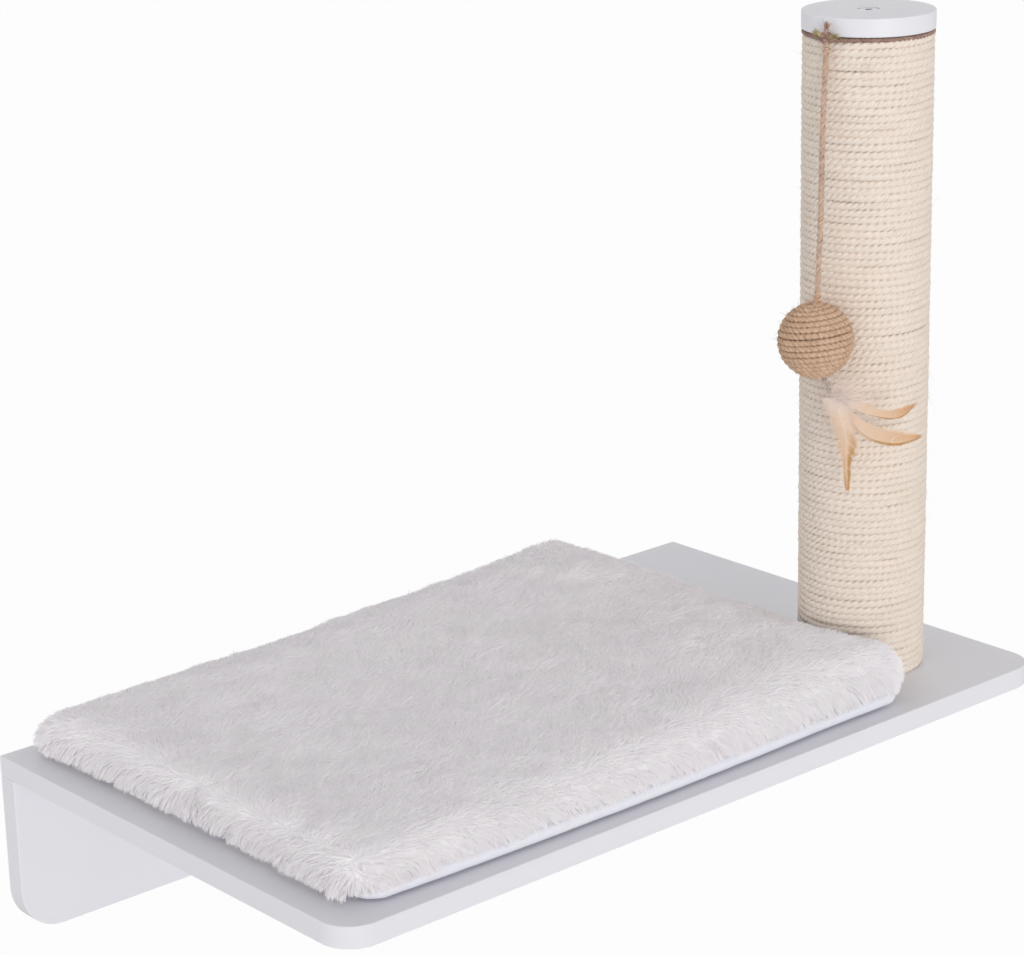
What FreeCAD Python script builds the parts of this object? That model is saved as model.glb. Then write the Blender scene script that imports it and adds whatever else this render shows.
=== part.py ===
"""Wall mounted cat shelf with a plush mat, a sisal scratching post and a hanging feather toy.

Millimetres, +Z up, +X to the right along the wall, the wall at +Y.
The origin is the centre of the four wall screw holes, on the back face of the wall board.
"""
import FreeCAD, Part
import math
import os

import Sketcher
from FreeCAD import Placement, Rotation, Vector

DIMENSIONS = {
    # boards
    "shelf_length": 600,
    "shelf_depth": 355,
    "board_thick": 14,
    "shelf_corner": 22,
    "wall_drop": 108,
    "wall_corner": 30,
    "edge_round": 0.8,
    # wall screw holes
    "wall_hole_span": 370,
    "wall_hole_rise": 56,
    "wall_hole_dia": 6,
    "wall_sink_dia": 12,
    # screws and dowels between the two boards
    "joint_screw_gap": 150,
    "joint_screw_dia": 5,
    "joint_head_dia": 10,
    "joint_screw_long": 45,
    "dowel_gap": 150,
    "dowel_dia": 8,
    "dowel_long": 30,
    "dowel_in_shelf": 9,
    "slack": 0.1,
    "joint_socket_dia": 4.6,
    "joint_socket_deep": 2.6,
    # post
    "post_x": 218,
    "post_y": -266,
    "post_height": 431,
    "tube_dia": 76,
    "tube_wall": 3,
    "plug_thick": 25,
    "bolt_dia": 8,
    "bolt_long": 36,
    "bolt_head_dia": 13,
    "bolt_head_high": 5,
    "hex_key": 5,
    "hex_deep": 3.5,
    "bolt_slack": 0.6,
    "insert_dia": 12,
    "insert_long": 18,
    "washer_dia": 24,
    "washer_thick": 1.6,
    "cap_dia": 86,
    "cap_thick": 12,
    "cap_recess_dia": 14.5,
    "cap_recess_deep": 5.6,
    # sisal winding
    "rope_dia": 4.1,
    "rope_clear": 0.35,
    "rope_lengths": 4,
    "turns_each": 23,
    # mat
    "mat_left": -277,
    "mat_right": 173,
    "mat_front": -340,
    "mat_back": -8,
    "mat_corner": 18,
    "mat_lift": 2,
    "mat_left_high": 24,
    "mat_right_high": 35.5,
    "mat_foot_inset": 6,
    "mat_shoulder": 19,
    "lining_thick": 2.4,
    "plush_thick": 2.6,
    "strip_wide": 25,
    "strip_long": 220,
    "strip_thick": 0.9,
    # toy
    "toy_turn": -172,
    "collar_cord_dia": 3.2,
    "knot_dia": 7.2,
    "string_dia": 4,
    "ball_x": 152.7,
    "ball_y": -283.3,
    "ball_z": 308,
    "ball_dia": 49.4,
    "ball_cord_dia": 3.4,
    "ball_pitch": 3.95,
    "string_knot_dia": 5.2,
    "ball_knot_dia": 4.6,
    "feather_knot_dia": 3.2,
    "toy_gap": 0.35,
    "thread_gap": 0.5,
    "feather_thick": 0.7,
}

document = FreeCAD.newDocument("cat_shelf")
sheet = document.addObject("Spreadsheet::Sheet", "sizes")
for row, (alias, value) in enumerate(DIMENSIONS.items(), start=1):
    sheet.set(f"A{row}", alias)
    sheet.set(f"B{row}", str(value))
    sheet.setAlias(f"B{row}", alias)
document.recompute()

parts = []


def size(alias):
    """A driving dimension as a number, read from the sheet."""
    return float(sheet.get(alias))


def bind(thing, **expressions):
    """Binds properties to expressions in the sheet's aliases; a double underscore stands for a dot."""
    for name, expression in expressions.items():
        thing.setExpression(name.replace("__", "."), expression)


def keep(thing, label):
    """Names a finished sub-part and puts it on the list of files to write."""
    thing.Label = label
    parts.append(thing)
    return thing


SHELF_UNDER = "sizes.wall_drop / 2"
SHELF_TOP = "(sizes.wall_drop / 2 + sizes.board_thick)"
CAP_UNDER = "(sizes.wall_drop / 2 + sizes.board_thick + sizes.post_height)"
BOARD_MIDDLE = "(0 - sizes.board_thick / 2)"
shelf_under = size("wall_drop") / 2
shelf_top = shelf_under + size("board_thick")
cap_under = shelf_top + size("post_height")
post_axis = Vector(size("post_x"), size("post_y"), 0)


# ---------------------------------------------------------------- PartDesign helpers
def new_body(label):
    body = document.addObject("PartDesign::Body", label)
    return keep(body, label)


def new_sketch(body, role, name, level=None):
    """A sketch on one of the body's origin planes, moved out along its normal by an expression."""
    sketch = body.newObject("Sketcher::SketchObject", name)
    plane = next(item for item in body.Origin.OriginFeatures if item.Role == role)
    sketch.AttachmentSupport = (plane, "")
    sketch.MapMode = "FlatFace"
    if level:
        sketch.setExpression("AttachmentOffset.Base.z", level)
    return sketch


def add_length(sketch, kind, args, name, expression):
    """One dimension constraint, bound to an expression."""
    index = sketch.addConstraint(Sketcher.Constraint(kind, *args, 10.0))
    sketch.renameConstraint(index, name)
    sketch.setExpression(f"Constraints.{name}", expression)


def add_circle(sketch, index, diameter, x=None, y=None):
    """A circle whose centre is on the sketch's origin, or x and y away from it."""
    far = 30.0 * (index + 1)
    centre = Vector(far if x else 0, far if y else 0, 0)
    geometry = sketch.addGeometry(Part.Circle(centre, Vector(0, 0, 1), 4.0), False)
    add_length(sketch, "Diameter", (geometry,), f"dia_{index}", diameter)
    if x is None and y is None:
        sketch.addConstraint(Sketcher.Constraint("Coincident", geometry, 3, -1, 1))
        return
    if x is None:
        sketch.addConstraint(Sketcher.Constraint("PointOnObject", geometry, 3, -2))
    else:
        add_length(sketch, "DistanceX", (-1, 1, geometry, 3), f"over_{index}", x)
    if y is None:
        sketch.addConstraint(Sketcher.Constraint("PointOnObject", geometry, 3, -1))
    else:
        add_length(sketch, "DistanceY", (-1, 1, geometry, 3), f"up_{index}", y)


def add_centred_rectangle(sketch, width, low, high):
    """A rectangle centred on the sketch's Y axis, from low to high, which are expressions."""
    corners = [Vector(-20, -20, 0), Vector(20, -20, 0), Vector(20, 20, 0), Vector(-20, 20, 0)]
    for start, end in zip(corners, corners[1:] + corners[:1]):
        sketch.addGeometry(Part.LineSegment(start, end), False)
    for line in range(4):
        sketch.addConstraint(Sketcher.Constraint("Coincident", line, 2, (line + 1) % 4, 1))
    for level, line in (("Vertical", 1), ("Horizontal", 2), ("Vertical", 3)):
        sketch.addConstraint(Sketcher.Constraint(level, line))
    sketch.addConstraint(Sketcher.Constraint("Symmetric", 0, 1, 0, 2, -2))
    add_length(sketch, "DistanceX", (0, 1, 0, 2), "width", width)
    for name, point, expression in (("low", (0, 1), low), ("high", (2, 1), high)):
        if expression is None:
            sketch.addConstraint(Sketcher.Constraint("PointOnObject", *point, -1))
        else:
            add_length(sketch, "DistanceY", (-1, 1, *point), name, expression)


def pad(body, sketch, length, reverse=False):
    feature = body.newObject("PartDesign::Pad", f"{sketch.Name}_pad")
    feature.Profile = sketch
    feature.Reversed = reverse
    feature.setExpression("Length", length)
    document.recompute()
    return feature


def pocket(body, sketch, depth=None, reverse=False):
    """Cuts a sketch into the body, through all of it where no depth is given, and checks that it cut."""
    before = body.Shape.Volume
    feature = body.newObject("PartDesign::Pocket", f"{sketch.Name}_pocket")
    feature.Profile = sketch
    feature.Reversed = reverse
    if depth:
        feature.setExpression("Length", depth)
    else:
        feature.Type = "ThroughAll"
    document.recompute()
    if body.Shape.Volume >= before - 1:
        raise RuntimeError(f"{feature.Name} cuts nothing")
    return feature


def edge_names(shape, wanted):
    return [f"Edge{n}" for n, edge in enumerate(shape.Edges, start=1) if wanted(edge)]


def fillet(body, base, wanted, radius, name):
    feature = body.newObject("PartDesign::Fillet", name)
    feature.Base = (base, edge_names(base.Shape, wanted))
    feature.setExpression("Radius", radius)
    document.recompute()
    return feature


def is_line_along(edge, axis):
    """True for a straight edge along axis."""
    if len(edge.Vertexes) != 2 or edge.Curve.TypeId != "Part::GeomLine":
        return False
    return abs(abs(edge.tangentAt(edge.FirstParameter).dot(axis)) - 1) < 1e-6


# ---------------------------------------------------------------- Part helpers
def cylinder(name, diameter, length, x="0", y="0", z="0"):
    """A bound upright cylinder that starts at z."""
    solid = document.addObject("Part::Cylinder", name)
    bind(solid, Radius=f"({diameter}) / 2", Height=length)
    bind(solid, Placement__Base__x=x, Placement__Base__y=y, Placement__Base__z=z)
    return solid


def cone(name, low_diameter, high_diameter, length, x="0", y="0", z="0"):
    solid = document.addObject("Part::Cone", name)
    bind(solid, Radius1=f"({low_diameter}) / 2", Radius2=f"({high_diameter}) / 2", Height=length)
    bind(solid, Placement__Base__x=x, Placement__Base__y=y, Placement__Base__z=z)
    return solid


def fuse(name, solids):
    joined = document.addObject("Part::MultiFuse", name)
    joined.Shapes = solids
    return joined


def cut(name, base, tool):
    result = document.addObject("Part::Cut", name)
    result.Base = base
    result.Tool = tool
    return result


def compound(name, things):
    group = document.addObject("Part::Compound", name)
    group.Links = things
    return group


def made_in_code(label, shape, place=None):
    """A sub-part whose shape is worked out below from the sheet's sizes."""
    feature = document.addObject("Part::Feature", label)
    feature.Shape = shape
    feature.Placement = place or Placement()
    return keep(feature, label)


# ---------------------------------------------------------------- curves and tubes
def corner_arc(start, corner, end):
    """The arc from start to end that is tangent to start-corner and corner-end, of equal length."""
    middle = (start + end) / 2
    turn = (corner - start).getAngle(end - corner)
    rise = (end - start).Length / 2 * math.tan(turn / 4)
    top = middle + (corner - middle).normalize() * rise
    return Part.Arc(start, top, end).toShape()


def biarc(start, start_way, end, end_way):
    """Two arcs that join start to end and are tangent to both ways and to each other."""
    chord = end - start
    both = start_way + end_way
    spread = 2 * (1 - start_way.dot(end_way))
    along = chord.dot(both)
    reach = (math.sqrt(along * along + spread * chord.dot(chord)) - along) / spread
    first = start + start_way * reach
    last = end - end_way * reach
    joint = (first + last) / 2
    return [corner_arc(start, first, joint), corner_arc(joint, last, end)]


def winding_edges(point_at, way_at, turns, steps_per_turn):
    """Biarcs along a winding, given its point and direction at a number of turns."""
    edges = []
    steps = round(turns * steps_per_turn)
    for step in range(steps):
        start = step / steps_per_turn
        end = (step + 1) / steps_per_turn
        edges += biarc(point_at(start), way_at(start), point_at(end), way_at(end))
    return edges


def tube(edges, diameter):
    """An unbroken round tube along edges that are tangent to each other."""
    wire = Part.Wire(edges)
    start = edges[0].valueAt(edges[0].FirstParameter)
    way = edges[0].tangentAt(edges[0].FirstParameter)
    ring = Part.Wire([Part.Circle(start, way, diameter / 2).toShape()])
    return wire.makePipeShell([ring], True, False)


def least_gap(points, per_turn, diameter):
    """The least gap of a winding to itself, from points on its centre line."""
    least = math.inf
    near_half = per_turn // 2
    for index, point in enumerate(points):
        for other in points[index + near_half: index + 2 * per_turn]:
            least = min(least, point.distanceToPoint(other))
    return least - diameter


def route_tube(points, diameter, label):
    """A tube on straight runs joined by arcs as large as the runs allow, with its facts printed."""
    edges = []
    last = points[0]
    for before, corner, after in zip(points, points[1:], points[2:]):
        way_in = (corner - before).normalize()
        way_out = (after - corner).normalize()
        reach = 0.45 * min((corner - before).Length, (after - corner).Length)
        turn = way_in.getAngle(way_out)
        start = corner - way_in * reach
        end = corner + way_out * reach
        edges.append(Part.LineSegment(last, start).toShape())
        edges.append(corner_arc(start, corner, end))
        print(f"{label}: turn {math.degrees(turn):.1f} degrees, radius {reach / math.tan(turn / 2):.0f} mm")
        last = end
    edges.append(Part.LineSegment(last, points[-1]).toShape())
    solid = tube(edges, diameter)
    length = sum(edge.Length for edge in edges)
    section = math.pi * diameter ** 2 / 4
    print(f"{label}: length {length:.1f} mm, volume / (section x length) {solid.Volume / section / length:.4f}")
    return solid


# ---------------------------------------------------------------- the two boards
def joint_places():
    """The x expressions of the screws and of the dowels between the boards."""
    screws = ["0 - sizes.joint_screw_gap", "0", "sizes.joint_screw_gap"]
    dowels = [f"sizes.dowel_gap * {step}" for step in (-1.5, -0.5, 0.5, 1.5)]
    return screws, dowels


def make_shelf_board():
    body = new_body("shelf_board")
    bind(body, Placement__Base__z=SHELF_UNDER)
    outline = new_sketch(body, "XY_Plane", "shelf_outline")
    add_centred_rectangle(outline, "sizes.shelf_length", "0 - sizes.shelf_depth", None)
    board = pad(body, outline, "sizes.board_thick")
    front = -size("shelf_depth")

    def front_corner(edge):
        return is_line_along(edge, Vector(0, 0, 1)) and abs(edge.CenterOfMass.y - front) < 0.1

    rounded = fillet(body, board, front_corner, "sizes.shelf_corner", "shelf_front_corners")

    def rim(edge):
        """The outline's edges above and below, but for those on the wall."""
        box = edge.BoundBox
        return box.ZLength < 0.01 and box.YMin < -0.1

    fillet(body, rounded, rim, "sizes.edge_round", "shelf_rims")

    post_hole = new_sketch(body, "XY_Plane", "post_bolt_hole")
    add_circle(post_hole, 0, "sizes.bolt_dia + 1", "sizes.post_x", "sizes.post_y")
    pocket(body, post_hole, "sizes.board_thick", reverse=True)

    screws, dowels = joint_places()
    dowel_holes = new_sketch(body, "XY_Plane", "dowel_holes_in_shelf")
    for index, x in enumerate(dowels):
        add_circle(dowel_holes, index, "sizes.dowel_dia + 2 * sizes.slack", x, BOARD_MIDDLE)
    pocket(body, dowel_holes, "sizes.dowel_in_shelf + 0.5", reverse=True)

    screw_holes = new_sketch(body, "XY_Plane", "screw_holes_in_shelf", "sizes.board_thick")
    for index, x in enumerate(screws):
        over = None if x == "0" else x
        add_circle(screw_holes, index, "sizes.joint_screw_dia + 2 * sizes.slack", over, BOARD_MIDDLE)
    document.recompute()
    hole = body.newObject("PartDesign::Hole", "screw_sinks_in_shelf")
    hole.Profile = screw_holes
    hole.DepthType = "ThroughAll"
    hole.Threaded = False
    bind(hole, Diameter="sizes.joint_screw_dia + 2 * sizes.slack")
    hole.HoleCutType = "Countersink"
    hole.HoleCutCustomValues = True
    bind(hole, HoleCutDiameter="sizes.joint_head_dia + 2 * sizes.slack")
    hole.HoleCutCountersinkAngle = 90
    document.recompute()
    return body


def make_wall_board():
    body = new_body("wall_board")
    outline = new_sketch(body, "XZ_Plane", "wall_outline")
    half = "sizes.wall_drop / 2"
    add_centred_rectangle(outline, "sizes.shelf_length", f"0 - {half}", half)
    board = pad(body, outline, "sizes.board_thick")
    low = -size("wall_drop") / 2

    def lower_corner(edge):
        return is_line_along(edge, Vector(0, 1, 0)) and abs(edge.CenterOfMass.z - low) < 0.1

    rounded = fillet(body, board, lower_corner, "sizes.wall_corner", "wall_lower_corners")

    def rim(edge):
        """The front outline and the two ends of the top."""
        box = edge.BoundBox
        in_front = box.YLength < 0.01 and abs(box.YMin + size("board_thick")) < 0.01
        return in_front or (is_line_along(edge, Vector(0, 1, 0)) and box.ZMin > -low - 0.01)

    fillet(body, rounded, rim, "sizes.edge_round", "wall_rims")

    screws, dowels = joint_places()
    top_holes = new_sketch(body, "XY_Plane", "dowel_holes_in_wall_board", half)
    for index, x in enumerate(dowels):
        add_circle(top_holes, index, "sizes.dowel_dia + 2 * sizes.slack", x, BOARD_MIDDLE)
    pocket(body, top_holes, "sizes.dowel_long - sizes.dowel_in_shelf + 0.5")
    screw_holes = new_sketch(body, "XY_Plane", "screw_holes_in_wall_board", half)
    for index, x in enumerate(screws):
        over = None if x == "0" else x
        add_circle(screw_holes, index, "sizes.joint_screw_dia + 2 * sizes.slack", over, BOARD_MIDDLE)
    pocket(body, screw_holes, "sizes.joint_screw_long - sizes.board_thick + 2")

    wall_holes = new_sketch(body, "XZ_Plane", "wall_screw_holes", "sizes.board_thick")
    index = 0
    for over in ("0 - sizes.wall_hole_span / 2", "sizes.wall_hole_span / 2"):
        for up in ("0 - sizes.wall_hole_rise / 2", "sizes.wall_hole_rise / 2"):
            add_circle(wall_holes, index, "sizes.wall_hole_dia", over, up)
            index += 1
    document.recompute()
    hole = body.newObject("PartDesign::Hole", "wall_screw_sinks")
    hole.Profile = wall_holes
    hole.DepthType = "ThroughAll"
    hole.Threaded = False
    bind(hole, Diameter="sizes.wall_hole_dia")
    hole.HoleCutType = "Countersink"
    hole.HoleCutCustomValues = True
    bind(hole, HoleCutDiameter="sizes.wall_sink_dia")
    hole.HoleCutCountersinkAngle = 90
    document.recompute()
    return body


def make_joint_screws():
    """Flat head screws from the shelf's top down into the wall board."""
    screws, _ = joint_places()
    whole = []
    head_high = "(sizes.joint_head_dia - sizes.joint_screw_dia) / 2"
    for number, x in enumerate(screws, start=1):
        foot = f"{SHELF_TOP} - sizes.joint_screw_long"
        shank = cylinder(f"screw_shank_{number}", "sizes.joint_screw_dia",
                         f"sizes.joint_screw_long - {head_high}", x, BOARD_MIDDLE, foot)
        head = cone(f"screw_head_{number}", "sizes.joint_screw_dia", "sizes.joint_head_dia", head_high,
                    x, BOARD_MIDDLE, f"{SHELF_TOP} - {head_high} - sizes.slack")
        solid = fuse(f"screw_blank_{number}", [shank, head])
        socket = document.addObject("Part::Prism", f"screw_socket_{number}")
        socket.Polygon = 6
        bind(socket, Circumradius="sizes.joint_socket_dia / 2", Height="sizes.joint_socket_deep + 1")
        bind(socket, Placement__Base__x=x, Placement__Base__y=BOARD_MIDDLE,
             Placement__Base__z=f"{SHELF_TOP} - sizes.joint_socket_deep")
        whole.append(cut(f"joint_screw_{number}", solid, socket))
    keep(compound("joint_screw_group", whole), "joint_screws")


def make_joint_dowels():
    _, dowels = joint_places()
    foot = f"{SHELF_UNDER} - sizes.dowel_long + sizes.dowel_in_shelf"
    pins = [
        cylinder(f"dowel_{number}", "sizes.dowel_dia", "sizes.dowel_long", x, BOARD_MIDDLE, foot)
        for number, x in enumerate(dowels, start=1)
    ]
    keep(compound("joint_dowel_group", pins), "joint_dowels")


# ---------------------------------------------------------------- the post
def on_post(body, z):
    bind(body, Placement__Base__x="sizes.post_x", Placement__Base__y="sizes.post_y", Placement__Base__z=z)


def make_post_tube():
    body = new_body("post_tube")
    on_post(body, SHELF_TOP)
    section = new_sketch(body, "XY_Plane", "tube_section")
    add_circle(section, 0, "sizes.tube_dia")
    add_circle(section, 1, "sizes.tube_dia - 2 * sizes.tube_wall")
    pad(body, section, "sizes.post_height")


def make_plug(label, z, insert_at_top):
    """A board disc glued into one end of the tube, bored for its threaded insert."""
    body = new_body(label)
    on_post(body, z)
    disc = new_sketch(body, "XY_Plane", f"{label}_disc")
    add_circle(disc, 0, "sizes.tube_dia - 2 * sizes.tube_wall - 2 * sizes.slack")
    pad(body, disc, "sizes.plug_thick")
    bolt_way = new_sketch(body, "XY_Plane", f"{label}_bolt_way")
    add_circle(bolt_way, 0, "sizes.bolt_dia + sizes.bolt_slack")
    pocket(body, bolt_way, "sizes.plug_thick", reverse=True)
    level = "sizes.plug_thick" if insert_at_top else None
    bore = new_sketch(body, "XY_Plane", f"{label}_insert_bore", level)
    add_circle(bore, 0, "sizes.insert_dia + 2 * sizes.slack")
    pocket(body, bore, "sizes.insert_long", reverse=not insert_at_top)


def make_insert(label, z):
    """A threaded insert, drawn with a plain bore."""
    outer = cylinder(f"{label}_outer", "sizes.insert_dia", "sizes.insert_long",
                     "sizes.post_x", "sizes.post_y", z)
    bore = cylinder(f"{label}_bore", "sizes.bolt_dia + 2 * sizes.slack", "sizes.insert_long + 2",
                    "sizes.post_x", "sizes.post_y", f"{z} - 1")
    keep(cut(f"{label}_ring", outer, bore), label)


def make_bolt(label, head_seat, points_up):
    """A hexagon socket bolt. The seat is the height of the underside of its head."""
    x, y = "sizes.post_x", "sizes.post_y"
    if points_up:
        shank_z, head_z = head_seat, f"{head_seat} - sizes.bolt_head_high"
        socket_z = f"{head_seat} - sizes.bolt_head_high - 1"
    else:
        shank_z, head_z = f"{head_seat} - sizes.bolt_long", head_seat
        socket_z = f"{head_seat} + sizes.bolt_head_high - sizes.hex_deep"
    shank = cylinder(f"{label}_shank", "sizes.bolt_dia", "sizes.bolt_long", x, y, shank_z)
    head = cylinder(f"{label}_head", "sizes.bolt_head_dia", "sizes.bolt_head_high", x, y, head_z)
    blank = fuse(f"{label}_blank", [shank, head])
    socket = document.addObject("Part::Prism", f"{label}_socket")
    socket.Polygon = 6
    bind(socket, Circumradius="sizes.hex_key / sqrt(3)", Height="sizes.hex_deep + 1")
    bind(socket, Placement__Base__x=x, Placement__Base__y=y, Placement__Base__z=socket_z)
    keep(cut(f"{label}_solid", blank, socket), label)


def make_post_washer():
    z = f"{SHELF_UNDER} - sizes.washer_thick"
    disc = cylinder("washer_disc", "sizes.washer_dia", "sizes.washer_thick", "sizes.post_x", "sizes.post_y", z)
    bore = cylinder("washer_bore", "sizes.bolt_dia + sizes.bolt_slack", "sizes.washer_thick + 2",
                    "sizes.post_x", "sizes.post_y", f"{z} - 1")
    keep(cut("washer_ring", disc, bore), "post_washer")


def make_top_cap():
    body = new_body("top_cap")
    on_post(body, CAP_UNDER)
    disc = new_sketch(body, "XY_Plane", "cap_disc")
    add_circle(disc, 0, "sizes.cap_dia")
    solid = pad(body, disc, "sizes.cap_thick")

    def rim(edge):
        return edge.Curve.TypeId == "Part::GeomCircle"

    fillet(body, solid, rim, "sizes.edge_round", "cap_rims")
    bolt_way = new_sketch(body, "XY_Plane", "cap_bolt_way")
    add_circle(bolt_way, 0, "sizes.bolt_dia + sizes.bolt_slack")
    pocket(body, bolt_way, "sizes.cap_thick", reverse=True)
    recess = new_sketch(body, "XY_Plane", "cap_recess", "sizes.cap_thick")
    add_circle(recess, 0, "sizes.cap_recess_dia")
    pocket(body, recess, "sizes.cap_recess_deep")


def make_sisal():
    """The sisal rope in lengths glued end to end, each one unbroken tube round the post tube."""
    diameter = size("rope_dia")
    radius = size("tube_dia") / 2 + size("rope_clear") + diameter / 2
    lengths = int(size("rope_lengths"))
    turns_each = size("turns_each")
    straight = diameter
    end_gap = 0.5
    round_once = 2 * math.pi * radius
    joint_turns = (2 * straight + end_gap) / round_once
    low = shelf_top + 0.3 + diameter / 2
    high = cap_under - 0.4 - size("collar_cord_dia") - 0.3 - diameter / 2
    all_turns = lengths * turns_each + (lengths - 1) * joint_turns + 2 * straight / round_once
    pitch = (high - low) / all_turns
    points_per_turn = 48
    for number in range(lengths):
        first = straight / round_once + number * (turns_each + joint_turns)

        def point_at(turn):
            angle = 2 * math.pi * (first + turn)
            height = low + pitch * (first + turn)
            return post_axis + Vector(radius * math.cos(angle), radius * math.sin(angle), height)

        def way_at(turn):
            angle = 2 * math.pi * (first + turn)
            return Vector(-math.sin(angle), math.cos(angle), pitch / round_once).normalize()

        edges = winding_edges(point_at, way_at, turns_each, 2)
        start, end = point_at(0), point_at(turns_each)
        lead_in = Part.LineSegment(start - way_at(0) * straight, start).toShape()
        lead_out = Part.LineSegment(end, end + way_at(turns_each) * straight).toShape()
        points = [point_at(step / points_per_turn) for step in range(int(turns_each * points_per_turn))]
        label = f"sisal_rope_{number + 1}"
        print(f"{label}: {turns_each:.0f} turns, least gap {least_gap(points, points_per_turn, diameter):.2f} mm")
        made_in_code(label, tube([lead_in] + edges + [lead_out], diameter))


# ---------------------------------------------------------------- the mat
def mat_section(inset, left_height, right_height):
    """A rounded outline of the mat that rises towards its right end, more steeply near its rim.

    The front bulges a little and the other sides draw in between their corners.
    """
    left, right = size("mat_left") + inset, size("mat_right") - inset
    front, back = size("mat_front") + inset, size("mat_back") - inset
    least_corner, flat_inset = 9, 120
    rise_power = 1 + 0.8 * max(0, 1 - inset / flat_inset)
    corner = max(size("mat_corner") - 0.5 * inset, least_corner)
    bulge = {"front": 4.0, "right": -1.5, "back": -2.5, "left": -2.0}
    diagonal = corner * (1 - math.sqrt(0.5))

    def at(x, y):
        share = (x - size("mat_left")) / (size("mat_right") - size("mat_left"))
        rise = (right_height - left_height) * share ** rise_power
        return Vector(x, y, shelf_top + left_height + rise)

    middle_x, middle_y = (left + right) / 2, (front + back) / 2
    trios = [
        (at(left + corner, front), at(middle_x, front - bulge["front"]), at(right - corner, front)),
        (at(right - corner, front), at(right - diagonal, front + diagonal), at(right, front + corner)),
        (at(right, front + corner), at(right + bulge["right"], middle_y), at(right, back - corner)),
        (at(right, back - corner), at(right - diagonal, back - diagonal), at(right - corner, back)),
        (at(right - corner, back), at(middle_x, back + bulge["back"]), at(left + corner, back)),
        (at(left + corner, back), at(left + diagonal, back - diagonal), at(left, back - corner)),
        (at(left, back - corner), at(left - bulge["left"], middle_y), at(left, front + corner)),
        (at(left, front + corner), at(left + diagonal, front + diagonal), at(left + corner, front)),
    ]
    return Part.Wire([Part.Arc(*trio).toShape() for trio in trios])


def mat_form(skin):
    """The mat's crowned body, drawn in all round by skin: ruled between outlines on a rounded profile."""
    base = size("mat_lift") + size("lining_thick") + 0.1
    foot_inset, shoulder = size("mat_foot_inset"), size("mat_shoulder")
    waist, shoulder_rise = 0.45, 0.93
    side_steps, shoulder_steps = 2, 5
    crown = ((70, 0.98), (120, 1.0))
    outline = [(foot_inset, 0)]
    for step in range(1, side_steps + 1):
        share = step / side_steps
        outline.append((foot_inset * (1 - math.sin(share * math.pi / 2)), share * waist))
    for step in range(1, shoulder_steps + 1):
        angle = step / shoulder_steps * math.pi / 2
        inset = shoulder * (1 - math.cos(angle)) ** 1.6
        outline.append((inset, waist + (shoulder_rise - waist) * math.sin(angle)))
    outline += crown
    sections = []
    for number, (inset, rise) in enumerate(outline):
        down = skin * min(1, number / shoulder_steps)
        heights = [base + (size(end) - base) * rise - down for end in ("mat_left_high", "mat_right_high")]
        sections.append(mat_section(inset + skin, *heights))
    return Part.makeLoft(sections, True, True)


def make_mat():
    skin = size("plush_thick")
    outer = mat_form(0)
    hollow = mat_form(skin)
    made_in_code("cushion_cover", outer.cut(hollow))
    filling_gap = 0.3
    made_in_code("cushion_filling", mat_form(skin + filling_gap))
    lift, thick, inset = size("mat_lift"), size("lining_thick"), size("mat_foot_inset")
    foot, rim = mat_section(inset + 3, lift, lift), mat_section(inset, lift + thick, lift + thick)
    made_in_code("cushion_lining", Part.makeLoft([foot, rim], True, True))


def make_strips():
    """Hook tape on the shelf and loop tape under the mat, two lengths of each."""
    middle_y = "(sizes.mat_front + sizes.mat_back) / 2"
    places = ("sizes.mat_left + 90", "sizes.mat_right - 90")
    levels = (("hook_strips", SHELF_TOP), ("loop_strips", f"{SHELF_TOP} + sizes.strip_thick + sizes.slack"))
    for label, level in levels:
        strips = []
        for number, middle_x in enumerate(places, start=1):
            strip = document.addObject("Part::Box", f"{label}_{number}")
            bind(strip, Length="sizes.strip_wide", Width="sizes.strip_long", Height="sizes.strip_thick")
            bind(strip, Placement__Base__x=f"{middle_x} - sizes.strip_wide / 2",
                 Placement__Base__y=f"{middle_y} - sizes.strip_long / 2", Placement__Base__z=level)
            strips.append(strip)
        keep(compound(f"{label}_group", strips), label)


# ---------------------------------------------------------------- the toy
ball_centre = Vector(size("ball_x"), size("ball_y"), size("ball_z"))
toy_angle = math.radians(size("toy_turn"))
outward = Vector(math.cos(toy_angle), math.sin(toy_angle), 0)
up = Vector(0, 0, 1)
knot_clear = 0.3
knot_reach = size("cap_dia") / 2 + knot_clear + size("knot_dia") / 2
collar_z = cap_under - 0.4 - size("collar_cord_dia") / 2
knot_centre = post_axis + outward * knot_reach + up * (cap_under - 0.5)
string_knot_centre = knot_centre - up * 7.6
string_way = (ball_centre - string_knot_centre).normalize()
# the toy's own plane: its normal points from the post to the ball, and sideways is level
ball_out = Vector(ball_centre.x - post_axis.x, ball_centre.y - post_axis.y, 0).normalize()
sideways = Vector(-ball_out.y, ball_out.x, 0)
on_ball = size("ball_dia") / 2 + 0.2
ball_knot_centre = ball_centre - string_way * (on_ball + size("ball_knot_dia") / 2)
exit_lean = math.radians(14)
exit_way = (sideways * math.tan(exit_lean) - up).normalize()
feather_knot_centre = ball_centre + exit_way * (on_ball + size("feather_knot_dia") / 2)


def in_toy_plane(across, rise, out=0.0):
    """A step across, up and out of the toy's own plane."""
    return sideways * across + up * rise + ball_out * out


def ball(centre, diameter):
    return Part.makeSphere(diameter / 2, centre)


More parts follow.
